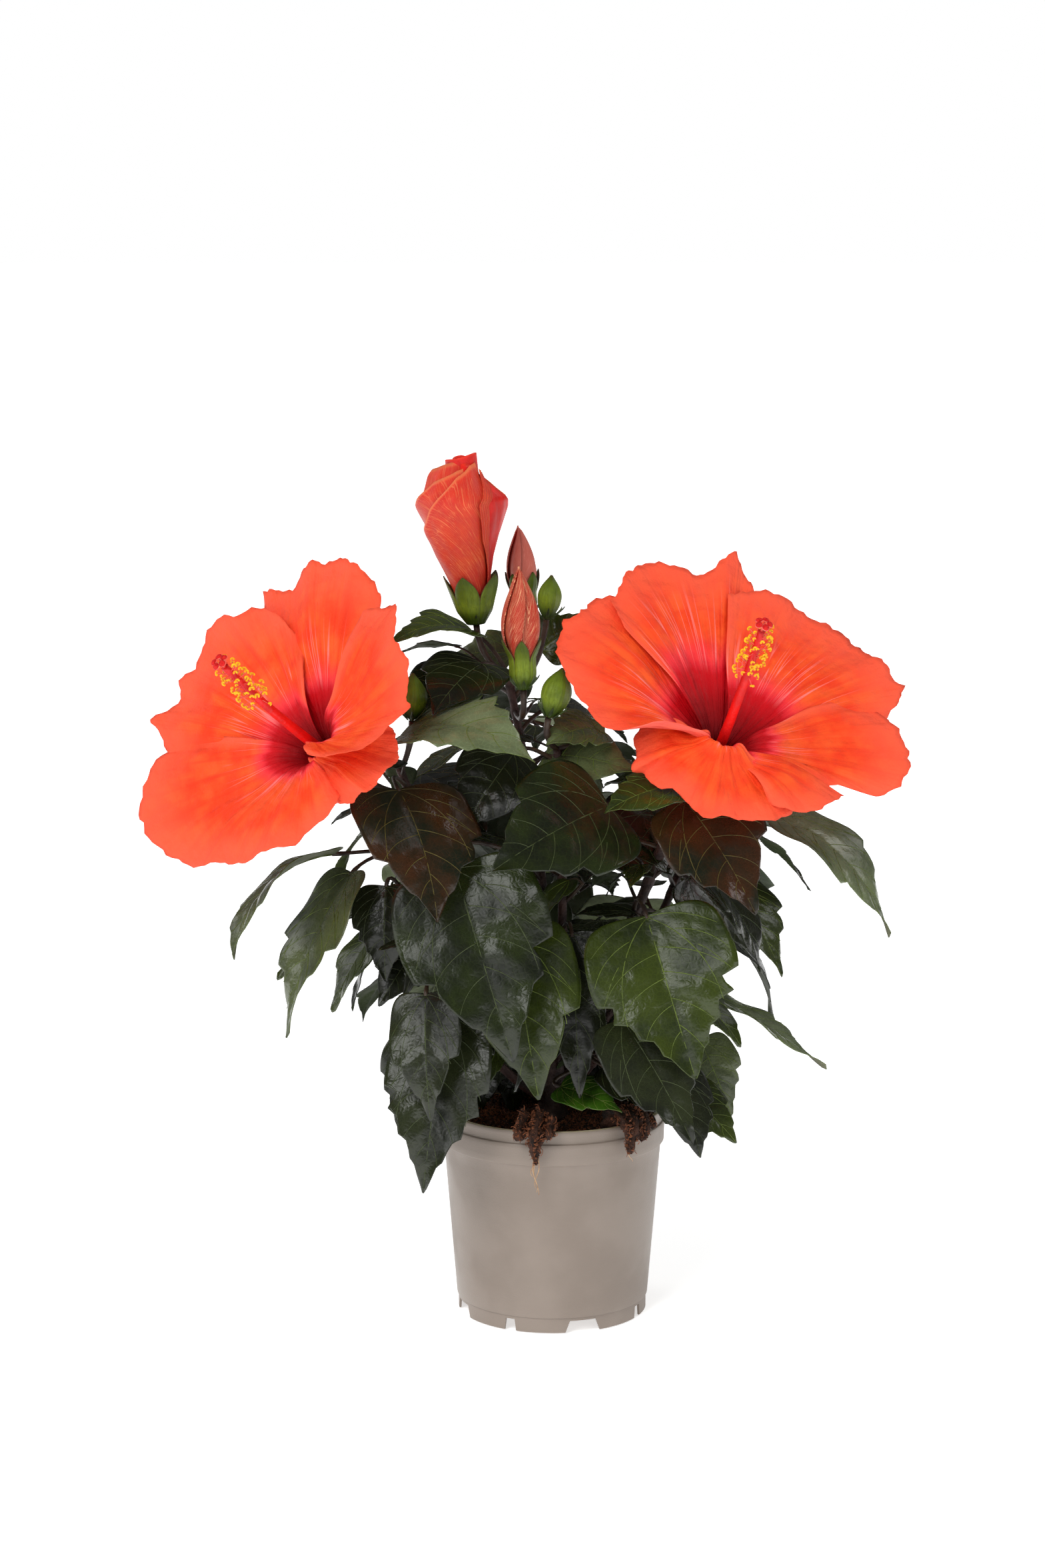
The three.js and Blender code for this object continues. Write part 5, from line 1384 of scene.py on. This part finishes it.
def makeColumn(name, bloom, trees):
    look = stamenLook
    t = np.linspace(0, 1, 40)
    points = columnAt(bloom, t)
    along = unit(np.gradient(points, axis=0))
    axis = along[-1]
    radii = mix(*columnShape["radius"], t) * (1 + 0.25 * (1 - smooth(t, 0, 0.12)))
    skin = Skin().add(*tube(points, radii, 20))
    bearing = points[t > 1 - columnShape["share"]][:-1]
    outer = Skin().add(*tube(bearing, columnShape["radius"][1], 16)).piece("outer_" + name, [])
    for kind, size, finish in (("filaments", "filamentRadius", "filament"), ("anthers", "anther", "anther")):
        tree, keys = trees[kind]
        made = grownMesh(f"{kind}_{name}", outer, tree, keys, finishes[finish], Gap=look["gap"] * mm,
                         Seed=look["seed"], Length=look["filament"] * mm, Size=look[size] * mm,
                         Lean=Vector(axis * look["lean"]))
        place(made, "stamen_column", "column_" + name)
    bpy.data.objects.remove(outer)
    aside = unit(np.cross(axis, vec(0, 0, 1)))
    ringTurns = np.linspace(0, 2 * np.pi, 25)[:, None]
    pad = np.linspace(-1, 1, 9)
    spread, above, wide = look["stigmas"]
    for k in range(5):
        way = turned(aside, axis, 2 * math.pi * k / 5 + 0.3)
        tip = points[-1] + way * spread + axis * above
        skin.add(*tube(bezier(points[-2], points[-1] + axis * 3.6, tip, np.linspace(0, 1, 8)), 0.42, 8),
            finish=2)
        face = unit(axis + way * 0.35)
        skin.add(*tube(tip + face * pad[:, None], wide * np.sqrt(1.02 - pad ** 2), 16), finish=1)
        u = unit(np.cross(face, aside + 0.01))
        hoop = tip + (u * np.cos(ringTurns) + np.cross(face, u) * np.sin(ringTurns)) * wide - face * 0.3
        skin.add(*tube(hoop, 0.25, 6), finish=2)
    body = skin.piece("column_body_" + name, [finishes[kind] for kind in ("column", "stigma", "stigmaRim")])
    place(body, "stamen_column", "column_" + name)


stamenTrees = {
    "filaments": spreadTree("filaments", stamenLook["density"], filamentShape, leaningTurns),
    "anthers": spreadTree("anthers", stamenLook["density"], antherShape, leaningTurns),
}
for name, bloom in blooms.items():
    makeColumn(name, bloom, stamenTrees)
print("columns made")


# Calyxes, bracts and buds

sepalLook = {  # its ribs are (place, width, height) shares across it
    "thick": 0.5, "rows": 22, "columns": 13, "rib": 0.5, "ribs": ((0, 0.16, 1), (0.62, 0.12, 0.6)),
    "joined": 0.42, "edge": 0.26,
}
bractLook = {"thick": 0.45, "width": 1.5, "count": 7, "curl": (55, 60), "seed": 9}


def growSepals(cup, pointAt, radiusAt, low, top, lean=0.0):
    look = sepalLook
    # five pointed sepals, joined below and free above; pointAt(h, angle, radius) gives a point
    u = np.linspace(-1, 1, look["columns"])
    r = np.linspace(0, 1, look["rows"])
    for k in range(calyxShape["sepals"]):
        rr, uu = np.meshgrid(r, u, indexing="ij")
        free = np.clip((rr - look["joined"]) / (1 - look["joined"]), 0, 1)
        narrowing = (1 - free ** 2.2) * 0.99 + 0.01
        h = mix(low, top, rr)
        angle = (2 * np.pi * k + np.pi * uu * narrowing) / calyxShape["sepals"]
        ribs = sum(high * hump(np.abs(uu), at, wide) for at, wide, high in look["ribs"])
        rib = look["rib"] * ribs * (1 - 0.6 * free)
        grid = pointAt(h, angle, radiusAt(h) + rib + lean * free ** 2)
        addSheet(cup, grid, np.full(rr.shape, look["thick"]), np.stack([uu / 2 + 0.5, rr], -1))
        for column in (0, -1):
            side = grid[rr[:, 0] > look["joined"] * 0.96, column]
            cup.add(*tube(side, look["edge"], 5), finish=1)


def growBracts(cup, seat, axis, radius, length):  # narrow bracts that curve away from the calyx's foot
    look = bractLook
    chance = randomFrom(look["seed"])
    aside = unit(np.cross(axis, vec(0.3, 1, 0)))
    t = np.linspace(0, 1, 12)
    u = np.linspace(-1, 1, 5)
    half = look["width"] / 2 * np.sin(np.pi * np.clip(t, 0.1, 0.985) ** 0.7) ** 0.8
    for k in range(look["count"]):
        out = turned(aside, axis, 2 * math.pi * (k + 0.3 * next(chance)) / look["count"])
        reach = length * (0.8 + 0.4 * next(chance))
        curl = math.radians(look["curl"][0] + look["curl"][1] * next(chance))
        away = out * (reach * np.sin(curl * t) / curl * 0.75)[:, None]
        mid = seat + out * radius + away + axis * (reach * t * 0.75 * (1 - 0.25 * t))[:, None]
        across = np.cross(axis, out) * (u[None, :] * half[:, None])[..., None]
        grid = mid[:, None] + across - out * (0.25 * half[:, None] * u[None, :] ** 2)[..., None]
        addSheet(cup, grid, np.full(grid.shape[:2], look["thick"]), finishes=(2, 2, 2))


def placeCup(cup, name, node):
    place(cup.piece(name, [finishes[kind] for kind in ("sepal", "sepalEdge", "bract")]), "calyx", node)


def bloomCalyx(name, bloom):
    look = calyxShape
    out, level, rise = bloomAxes(bloom)
    seat = calyxSeat(bloom)
    heights, radii = look["heights"], look["radii"]

    def at(h, angle, radius):
        return seat + out * (h * look["length"])[..., None] + spun(level, rise, angle, radius)

    cup = Skin()
    growSepals(cup, at, lambda h: np.interp(h, heights, radii) - 0.6, 0.02, 1.0, 1.0)
    growBracts(cup, seat + out * 0.6, out, radii[0], look["bracts"])
    placeCup(cup, "sepals_" + name, "calyx_" + name)


def ridged(bud, h, angle):
    wave = np.cos(5 * angle - 5 * bud["twist"] * h)
    return budRadius(bud, np.clip(h, 0.04, 0.985)) * (1 + bud["ridge"] * wave)


furlLook = {"petals": 5, "span": 2.2, "step": 2.4, "thick": 0.5, "rows": 46, "columns": 34}


def furledPetals(bud, low):  # petals wound round each other, each with one edge out over the next
    look = furlLook
    skin = Skin()
    r = np.linspace(0, 1, look["rows"])
    p = np.linspace(0, 1, look["columns"])
    for k in range(look["petals"]):
        rr, pp = np.meshgrid(r, p, indexing="ij")
        h = low + (1 - low) * rr
        angle = 2 * np.pi * k / 5 + bud["twist"] * h - look["span"] * pp * (1 - 0.25 * rr) + 0.45
        radius = ridged(bud, h, angle) - look["step"] * (pp - 0.18) * smooth(rr, 0.0, 0.35)
        radius = np.maximum(radius, 0.25) * (1 - smooth(rr, 0.93, 1.0) * 0.7)
        grid = budPoint(bud, h, angle, np.maximum(radius, 0.2))
        addSheet(skin, grid, np.full(rr.shape, look["thick"]), np.stack([pp, rr], -1), (0, 1, 0))
    return skin


# how far the opening bud stands out at each height, on its left, on its right and in its calyx
openingLook = {
    "heights": (0, 0.08, 0.21, 0.29, 0.41, 0.53, 0.7, 0.76, 0.88, 0.955, 1.0),
    "left": (3.2, 7.5, 10.8, 13.8, 18.8, 22.3, 25, 24.5, 19.5, 13.5, 7.6),
    "right": (3.2, 7.0, 9.0, 9.8, 12.2, 15.6, 21.5, 22, 11.5, 8.5, 7),
    "cup": (4.0, 8.8, 12.4, 14.4, 16, 18, 20, 20, 20, 20, 20),
    "rows": 40, "columns": 36, "foot": 0.06, "thick": 0.5, "wrinkle": 0.22,
}
# The petals of the opening bud, from the front round: where each begins and ends, as headings at heights,
# its top margin as (heading, height), how far in it lies at its two edges, how far its free corner flares
# outwards, and which skin it wears. Heading 270 faces the front.
openingPetals = [
    dict(begin=[(0.06, 205), (0.6, 196)], end=[(0.3, 318), (0.51, 299), (0.72, 293), (0.92, 318)],
         top=[(196, 0.56), (209, 0.62), (230, 0.74), (257, 0.88), (289, 0.945), (318, 0.96)],
         inset=(-0.3, 1.0), flare=0.8, skin=0),
    dict(begin=[(0.06, 150), (0.7, 158)], end=[(0.06, 300), (0.9, 300)],
         top=[(150, 0.62), (172, 0.69), (182, 0.71), (215, 0.85), (255, 0.915), (300, 0.95)],
         inset=(0.6, 3.4), flare=2.6, skin=0),
    dict(begin=[(0.06, 120), (0.9, 150)], end=[(0.06, 280), (0.9, 280)],
         top=[(120, 0.88), (160, 0.9), (188, 0.925), (220, 0.955), (250, 0.97), (280, 0.975)],
         inset=(1.8, 4.6), flare=1.6, skin=0),
    dict(begin=[(0.3, 316), (0.51, 293), (0.72, 287), (0.94, 316)],
         end=[(0.3, 334), (0.51, 314), (0.72, 303), (0.94, 352)],
         top=[(280, 0.96), (312, 0.93), (330, 0.89), (360, 0.85)], inset=(-1.2, 1.6), flare=0.0, skin=0),
    dict(begin=[(0.06, 255), (0.9, 262)], end=[(0.06, 395), (0.74, 378)],
         top=[(255, 0.975), (290, 0.955), (306, 0.93), (318, 0.905), (340, 0.81), (356, 0.745), (378, 0.72)],
         inset=(3.0, 0.0), flare=0.0, skin=1),
    dict(begin=[(0.06, 360), (0.7, 352)], end=[(0.06, 500), (0.9, 480)],
         top=[(352, 0.72), (400, 0.86), (440, 0.92), (500, 0.9)], inset=(1.4, 0.6), flare=0.0, skin=0),
]
innerFurls = [
    dict(top=1.0, reach=(9.2, 6.8), start=150, span=250),
    dict(top=0.985, reach=(6.6, 3.2), start=20, span=330),
]


def openingRadius(h, az):  # az in degrees, 0 to the right
    look = openingLook
    left, right = [np.interp(h, look["heights"], look[side]) for side in ("left", "right")]
    share = (1 - np.cos(np.radians(az))) / 2
    return mix(right, left, share)


def openingBud(bud):
    skin = Skin()
    look = openingLook
    p, r = np.linspace(0, 1, look["columns"]), np.linspace(0, 1, look["rows"])
    for k, petal in enumerate(openingPetals):
        rr, pp = np.meshgrid(r, p, indexing="ij")
        tops = np.array(petal["top"], float)
        begin, end = [np.array(petal[side], float) for side in ("begin", "end")]
        h = look["foot"] + rr * 0.8
        for _ in range(4):  # the margin's height depends on the heading, and the heading on the height
            az = mix(np.interp(h, *begin.T), np.interp(h, *end.T), pp)
            h = look["foot"] + (np.interp(az, *tops.T) - look["foot"]) * rr
        radius = openingRadius(h, az) - mix(*petal["inset"], pp)
        radius = radius + petal["flare"] * smooth(rr, 0.8, 1.0) * hump(pp, 0.12, 0.2)
        radius = radius + look["wrinkle"] * np.sin(26 * pp + 7 * rr + k) * smooth(rr, 0.1, 0.5)
        grid = standPoint(bud, h, az, radius)
        finish = petal["skin"]
        addSheet(skin, grid, np.full(rr.shape, look["thick"]), np.stack([pp, rr], -1), (1, finish, finish))
    for furl in innerFurls:
        rr, pp = np.meshgrid(r, p, indexing="ij")
        h = 0.55 + (furl["top"] - 0.02 * np.sin(6 * pp) - 0.07 * np.abs(2 * pp - 1) ** 5 - 0.55) * rr
        grid = standPoint(bud, h, furl["start"] + furl["span"] * pp,
            mix(*furl["reach"], pp) * (1.1 - 0.1 * rr))
        addSheet(skin, grid, np.full(rr.shape, look["thick"]), np.stack([pp, rr], -1), (1, 1, 1))
    return skin


def standPoint(bud, h, az, radius):  # a point of an upright bud by its heading, in degrees
    return budLine(bud, h) + around(1.0, np.radians(az)) * radius[..., None]


def colouredBud(name, bud, outer):
    opens = "mouth" in bud
    shape = bud if opens else {**bud, **bud["furl"]}
    petals = openingBud(bud) if opens else furledPetals(shape, bud["seatShare"] + 0.01)
    high, share = (0.7, 0.5) if opens else (0.93, 0.66)
    h = np.linspace(bud["seatShare"] + 0.02, high, 24)
    # fills it, so that nothing shows through
    petals.add(*tube(budLine(bud, h), budRadius(shape, h) * share, 24), finish=1)
    place(petals.piece("furled_" + name, [finishes[outer], finishes["deep"]]), "petals", "bud_" + name)

    def outside(h):
        if opens:
            return np.interp(h, openingLook["heights"], openingLook["cup"])
        petalsAt = budRadius(shape, h) * (1 + bud["ridge"]) + 0.8
        return np.maximum(mix(3.2, bud["cupReach"], smooth(h / bud["cup"], 0, 0.3)), petalsAt)

    cup = Skin()
    growSepals(cup, lambda h, a, r: budPoint(bud, h, a + bud["cupTurn"], r), outside, 0.004, bud["cup"], 0.3)
    along = budFrame(bud)[0]
    growBracts(cup, vec(*bud["seat"]) + along * 0.6, along, 3.2, 12)
    placeCup(cup, "sepals_" + name, "calyx_" + name)


greenLook = {
    "rows": 44, "sides": 60, "flutes": 0.03, "seam": 0.04, "seamWidth": 0.12, "edge": 0.28, "bracts": 14,
}


def greenBud(name, bud):  # five sepals shut edge to edge, ribbed, with a brown seam where two meet
    shape = {**bud, **bud["furl"]}
    look = greenLook
    h = np.linspace(0.0, 0.985, look["rows"])
    hh, aa = np.meshgrid(h, ringTurns(look["sides"]), indexing="ij")
    ring = 1 + bud["ridge"] * (1 - np.abs(np.cos(2.5 * aa))) + look["flutes"] * np.cos(20 * aa)
    ring = ring - look["seam"] * hump(np.abs(np.sin(2.5 * aa)), 0, look["seamWidth"])
    uv = np.stack([(aa / (2 * np.pi) * 5) % 1, hh], -1).reshape(-1, 2)
    uv = np.concatenate([uv, [(0, 0), (0, 1)]])
    cup = Skin().add(*tube(budLine(bud, h), budRadius(shape, h), look["sides"], ring), uv=uv)
    for k in range(5):
        angle = np.full(len(h), 2 * np.pi * k / 5)
        cup.add(*tube(budPoint(bud, h, angle, budRadius(shape, h) * 0.97), look["edge"], 5), finish=1)
    along = budFrame(bud)[0]
    growBracts(cup, vec(*bud["seat"]) + along * 0.4, along, 2.6, look["bracts"])
    placeCup(cup, "bud_body_" + name, "bud_" + name)


for name, bloom in blooms.items():
    bloomCalyx(name, bloom)
for name, bud in buds.items():
    if bud["cup"]:
        colouredBud(name, bud, {"opening": "outer", "coral_front": "coral", "coral_back": "dusty"}[name])
    else:
        greenBud(name, bud)
print("buds made")


# Pot

# the lip's top face, above a set height, is a cream colour
potLook = {"worn": (206, 190, 160), "creamTopFrom": 0.1107, "plastic": (133, 121, 111), "shade": (125, 113, 103)}
footGaps = {"count": 8, "first": -71.5, "wide": 20, "narrow": 7, "depth": 6.4}


def potMaterial():
    look = potLook
    material, tree, shader, where = newMaterial("potPlastic", Specular_IOR_Level=0.45)
    patches = useGroup(tree, "patches", Vector=where["Object"], Colour=rgb(*look["plastic"]),
                       Shade=rgb(*look["shade"]), Scale=26.0)
    # a cream band on the lip's top face, above a set height
    worn = between(tree, apart(tree, where["Object"])["Z"], look["creamTopFrom"], look["creamTopFrom"] + 0.0003)
    grain = noise(tree, where["Object"], 1400.0, 3.0)["Fac"]
    stretched = node(tree, "ShaderNodeMapping",
        {"Vector": where["Object"], "Scale": (1.0, 1.0, 14.0)}).outputs[0]
    rings = noise(tree, stretched, 60.0)["Fac"]
    feed(tree, shader, Base_Color=blend(tree, worn, patches["Colour"], rgb(*look["worn"])),
         Roughness=between(tree, patches["Mask"], 0.0, 1.0, 0.38, 0.5),
         Normal=bump(tree, sums(tree, "MULTIPLY_ADD", rings, 0.5, grain), 0.0002, 0.5))
    return material


def potProfile():
    # the wall's outline as radius and height, from the pad up the outside, over the lip and down
    p = potShape
    rim, lip, seam, foot, pad = [p[kind + "Radius"] for kind in ("top", "lip", "seam", "foot", "pad")]
    top, floor, wall, outer = p["height"], p["floorHeight"], p["wall"], p["wallTopRadius"]
    seamTop, ledge = p["seamHeight"] + 0.8, p["height"] - p["lipHeight"]
    collar = ledge - p["collarHeight"]
    rise = [(mix(seam, outer, x), mix(seamTop, collar - 0.9, x)) for x in np.linspace(0, 1, 14)[1:]]
    return np.array([
        (pad - 0.5, 0), (pad, 0.5), (pad, floor - wall), (foot - wall, floor - wall), (foot - wall, 0.3),
        (foot - wall + 0.3, 0), (foot - 0.3, 0), (foot, 0.3), (foot, seamTop - 0.8),
        (seam - 0.2, seamTop - 0.6), (seam, seamTop), *rise, (outer + 0.3, collar - 0.5),
        (rim - 0.7, collar - 0.1), (rim - 0.35, collar + 0.4), (rim - 0.25, collar + 4),
        (rim - 0.1, ledge - 3), (rim, ledge - 1), (rim - 0.3, ledge - 0.4), (lip + 0.2, ledge),
        (lip, ledge + 0.5), (lip + 0.4, top - 2.2), (lip + 0.5, top - 0.9),
        (lip + 0.2, top - 0.2), (lip - 0.4, top), (lip - 1.6, top), (lip - 2, top - 0.3),
        (p["innerTopRadius"], ledge), (seam - wall, floor + 1), (seam - wall - 2, floor)])


def footCutters():  # one block for each gap in the foot ring, wide and narrow by turns
    look = footGaps
    cutter = Skin()
    near = -potShape["footRadius"] - 2
    for n in range(look["count"]):
        width = look["narrow"] if n % 2 else look["wide"]
        turn = math.radians(look["first"] + 360 / look["count"] * n)
        outline = [(-width / 2, -1), (width / 2, -1), (width * 0.36, look["depth"]),
            (-width * 0.36, look["depth"])]
        corners = [(x * math.cos(turn) - y * math.sin(turn), x * math.sin(turn) + y * math.cos(turn), z)
                   for y in (near, near + 8) for x, z in outline]
        cutter.add(corners, [(0, 1, 2, 3), (7, 6, 5, 4), (0, 4, 5, 1), (1, 5, 6, 2), (2, 6, 7, 3),
            (3, 7, 4, 0)])
    return cutter


def makePot():
    profile = potProfile()
    rings = around(profile[:, :1], ringTurns(potShape["sides"]), profile[:, 1:])
    shell = Skin().add(*closed(rings, (0, 0, 0), (0, 0, potShape["floorHeight"]))).piece("shell", [])
    gaps = footCutters().piece("gaps", [])
    cut = shell.modifiers.new("gaps", "BOOLEAN")
    cut.operation = "DIFFERENCE"
    cut.object = gaps
    cut.solver = "EXACT"
    mesh = bpy.data.meshes.new_from_object(shell.evaluated_get(bpy.context.evaluated_depsgraph_get()))
    mesh.name = "pot_shell"
    mesh.shade_smooth()
    mesh.set_sharp_from_angle(angle=math.radians(34))
    mesh.materials.clear()
    mesh.materials.append(potMaterial())
    bpy.data.objects.remove(shell)
    bpy.data.objects.remove(gaps)
    return shown("pot_shell", mesh)


place(makePot(), "pot_plastic", "pot")
print("pot made")


# Peat: its body, the clumps over the lip, crumbs, fibres and roots

soilShape = {  # its lumps are (height, breadth), and clumps start under its surface and bend over the lip
    "level": 103, "flat": 12, "grain": 1.6, "sides": 120, "rings": 40, "lumps": ((0.9, 9.0), (0.5, 3.5)),
    "start": 46, "bend": 55,
}
clumps = [  # where each lies over the lip, how thick it is and how far it hangs
    dict(heading=-98, girth=4.8, hang=15), dict(heading=-105, girth=4.2, hang=3),
    dict(heading=-92, girth=3.6, hang=1),
    dict(heading=-53, girth=5.0, hang=13), dict(heading=-46, girth=5.0, hang=7),
    dict(heading=-40, girth=4.0, hang=1),
]
peatLook = {"crumb": 0.9, "crumbGap": 1.9, "fibre": 3.6, "fibreRadius": 0.15, "fibreGap": 2.0, "seed": 12,
            "density": 400000.0}


def soilHeight(radius, angle):
    look = soilShape
    uneven = look["grain"] * smooth(radius, look["flat"], look["flat"] + 12)
    waves = np.sin(3 * angle + radius / 7) + 0.6 * np.sin(7 * angle - radius / 5)
    return look["level"] + uneven * waves


def peatTop():  # the rough top, carried down as a plug into the pot
    look = soilShape
    p, level = potShape, look["level"]
    turns = ringTurns(look["sides"])
    share = (level - p["floorHeight"]) / (p["height"] - p["floorHeight"])
    edge = mix(p["seamRadius"], p["innerTopRadius"] + p["wall"], share)
    radius, angle = np.meshgrid(np.linspace(2, edge - 3.0, look["rings"]), turns, indexing="ij")
    flat = around(radius, angle)
    (tall, broad), (low, fine) = look["lumps"]
    high = soilHeight(radius, angle) + tall * rough(flat, broad, 1.0) * smooth(radius, 9, 16)
    high = high + low * rough(flat, fine, 2.0)
    wall = [(p["seamRadius"] - 4.2, p["floorHeight"] + 3.5), (edge - 4, 60.0), (edge - 3.2, level - 4)]
    rings = np.concatenate([[around(r, turns, z) for r, z in wall], around(radius, angle, high)[::-1]])
    return closed(rings, (0, 0, wall[0][1]), (0, 0, high[0].mean()))


def clumpLine(clump, t):
    out = heading(clump["heading"], 0)
    top = potShape["height"]
    beyond = potShape["topRadius"] + clump["girth"]
    marks = [(soilShape["start"], soilShape["level"] - 3), (soilShape["bend"], top + clump["girth"] + 1),
             (beyond + 2, top + 1), (beyond + 1, top - clump["hang"])]
    marks = np.array([out * r + vec(0, 0, z) for r, z in marks])
    share = t * (len(marks) - 1)
    i = np.clip(share.astype(int), 0, len(marks) - 2)
    x = (share - i)[:, None]
    before = marks[np.maximum(i - 1, 0)]
    after = marks[np.minimum(i + 2, len(marks) - 1)]
    a, b = marks[i], marks[i + 1]
    bend = 2 * before - 5 * a + 4 * b - after
    return 0.5 * (2 * a + (b - before) * x + bend * x ** 2 + (3 * a - before - 3 * b + after) * x ** 3)


def crumbShape(tree, given):
    return node(tree, "GeometryNodeMeshIcoSphere", {"Radius": given["Size"], "Subdivisions": 1}).outputs[0]


def fibreShape(tree, given):
    half = times(tree, given["Length"], 0.5)
    line = node(tree, "GeometryNodeCurveQuadraticBezier", {
        "Resolution": 5, "Start": joined(tree, times(tree, half, -1.0)),
        "Middle": joined(tree, 0.0, half, half),
        "End": joined(tree, half, 0.0, times(tree, half, 0.5))}).outputs[0]
    return thread(tree, line, 4, given["Size"])


def makePeat():
    look = peatLook
    body, bare = Skin(), Skin()  # bare is what crumbs and fibres are strewn over
    points, quads, tris = peatTop()
    body.add(points, quads, tris)
    t = np.linspace(0, 1, 40)
    turns = ringTurns(24)
    for clump in clumps:
        line = clumpLine(clump, t)
        lumps = 1 + 0.28 * np.sin(3 * turns + line[:, 2:] / 3) + 0.2 * np.sin(7 * turns - line[:, 2:] / 1.7)
        radii = clump["girth"] * mix(1.0, 0.5, t) * (1 - smooth(t, 0.8, 1.0) * 0.6)
        radii = radii * (1 + 0.18 * np.sin(17 * t + clump["heading"]))
        body.add(*tube(line, radii, 24, lumps))
        bare.add(*tube(line[14:], radii[14:], 24, lumps[14:]))
    piece = body.piece("peat_body", [finishes["peat"]])
    upper = points[:, 2][quads].min(1) > soilShape["level"] - 3
    bare.add(points, quads[upper], tris[len(tris) // 2:])
    strewn = bare.piece("strewn", [])
    for kind, makeShape, length, size, gap, finish in (
            ("crumbs", crumbShape, "crumb", "crumb", "crumbGap", "crumb"),
            ("fibres", fibreShape, "fibre", "fibreRadius", "fibreGap", "fibre")):
        tree, keys = spreadTree(kind, look["density"], makeShape, looseTurns)
        made = grownMesh("peat_" + kind, strewn, tree, keys, finishes[finish], Gap=look[gap] * mm,
                         Seed=look["seed"], Length=look[length] * mm, Size=look[size] * mm)
        place(made, "potting_soil", "root_ball")
    bpy.data.objects.remove(strewn)
    return piece


rootLook = {
    "threads": 5, "mat": 70, "seed": 77, "thread": (0.28, 0.12), "root": (0.36, 0.2), "reach": 54.6,
    "level": 103.6,
}


def makeRoots():
    look = rootLook
    skin = Skin()
    chance = randomFrom(look["seed"])
    t = np.linspace(0, 1, 14)
    # threads that hang from the clumps, the last from the clump on the right
    for k in range(look["threads"]):
        last = k == look["threads"] - 1
        clump = clumps[3 if last else 0]
        out = heading(clump["heading"] + 2 * (next(chance) - 0.5), 0)
        reach = potShape["topRadius"] + clump["girth"] + 1
        top = out * reach + vec(0, 0, potShape["height"] - clump["hang"] + 3)
        drop = (9 + 11 * next(chance)) * (0.5 if last else 1)
        aside = heading(clump["heading"] + 90, 0) * (2.2 * np.sin(5 * t + 6 * next(chance)) * t)[:, None]
        bow = out * (1.5 * np.sin(3 * t * next(chance)))[:, None]
        points = top - vec(0, 0, 1) * (drop * t)[:, None] + aside - bow
        skin.add(*tube(points, mix(*look["thread"], t), 6))
    for k in range(look["mat"]):  # pale roots matted along the inside of the lip
        turn = np.radians(360 * next(chance) + (8 + 22 * next(chance)) * t)
        radius = look["reach"] - 2.4 * next(chance) + 0.5 * np.sin(7 * t + k)
        high = look["level"] + 3.2 * next(chance) * np.sin(np.pi * t) + 0.5 * np.sin(9 * t + k)
        skin.add(*tube(around(radius, turn, high), mix(*look["root"], t), 6))
    return skin.piece("roots", [finishes["root"]])


place(makePeat(), "potting_soil", "root_ball")
place(makeRoots(), "potting_soil", "root_ball")
print("peat made")


# Floor, light and camera

stageLook = {
    "floor": 40.0, "below": 0.0005, "seen": 1.0, "ambient": 0.3, "mirrored": 0.096, "floorGlow": 0.55,
    "suns": {  # where each soft sun stands, its strength, how wide it is, and whether glossy skins mirror it
        "key": ((-0.55, -0.8, 1.15), 1.65, 30, False), "sheen": ((-0.5, -0.9, 0.5), 0.6, 24, True),
        "fill": ((0.6, -1.0, 0.2), 0.7, 50, False),
        "rimLeft": ((-1.0, 0.5, 0.6), 0.4, 30, True), "rimRight": ((1.0, 0.4, 0.9), 0.5, 30, True),
    },
}


def makeStage():
    look = stageLook
    size, white = look["floor"], (1, 1, 1, 1)
    mesh = bpy.data.meshes.new("floor")
    corners = [(x * size, y * size, -look["below"]) for x, y in ((-1, -1), (1, -1), (1, 1), (-1, 1))]
    mesh.from_pydata(corners, [], [(0, 1, 2, 3)])
    material, _, _, _ = newMaterial("floorPaper", Roughness=0.9, Specular_IOR_Level=0.1, Base_Color=white,
                                    Emission_Color=white, Emission_Strength=look["floorGlow"])
    mesh.materials.append(material)
    shown("floor", mesh)
    world = bpy.data.worlds.new("studio")
    bpy.context.scene.world = world
    world.use_nodes = True
    tree = world.node_tree
    tree.nodes.remove(tree.nodes["Background"])
    seen, soft, mirrored = [node(tree, "ShaderNodeBackground",
        {"Color": white, "Strength": look[kind]}).outputs[0]
                            for kind in ("seen", "ambient", "mirrored")]
    path = tree.nodes.new("ShaderNodeLightPath").outputs
    unseen = node(tree, "ShaderNodeMixShader", {0: path["Is Glossy Ray"], 1: soft, 2: mirrored}).outputs[0]
    both = node(tree, "ShaderNodeMixShader", {0: path["Is Camera Ray"], 1: unseen, 2: seen}).outputs[0]
    tree.links.new(both, tree.nodes["World Output"].inputs["Surface"])
    for name, (spot, strength, wide, shines) in look["suns"].items():
        sun = bpy.data.lights.new(name, "SUN")
        sun.energy = strength
        sun.angle = math.radians(wide)
        lamp = shown(name, sun)
        lamp.location = spot
        lamp.visible_glossy = shines
        lamp.rotation_euler = Vector(spot).to_track_quat("Z", "Y").to_euler()
    bpy.context.scene.view_settings.view_transform = "Standard"


cameraLook = {"place": (-0.016, -1.8, 0.58), "pitch": 9.33, "focal": 5196, "frameHeight": 2352, "sensor": 36}


def makeCamera():
    look = cameraLook
    camera = bpy.data.cameras.new("camera")
    camera.sensor_fit = "VERTICAL"
    camera.sensor_height = look["sensor"]
    camera.lens = look["focal"] / look["frameHeight"] * look["sensor"]
    holder = shown("camera", camera)
    holder.location = look["place"]
    holder.rotation_euler = (math.radians(90 - look["pitch"]), 0, 0)
    bpy.context.scene.camera = holder


makeStage()
makeCamera()
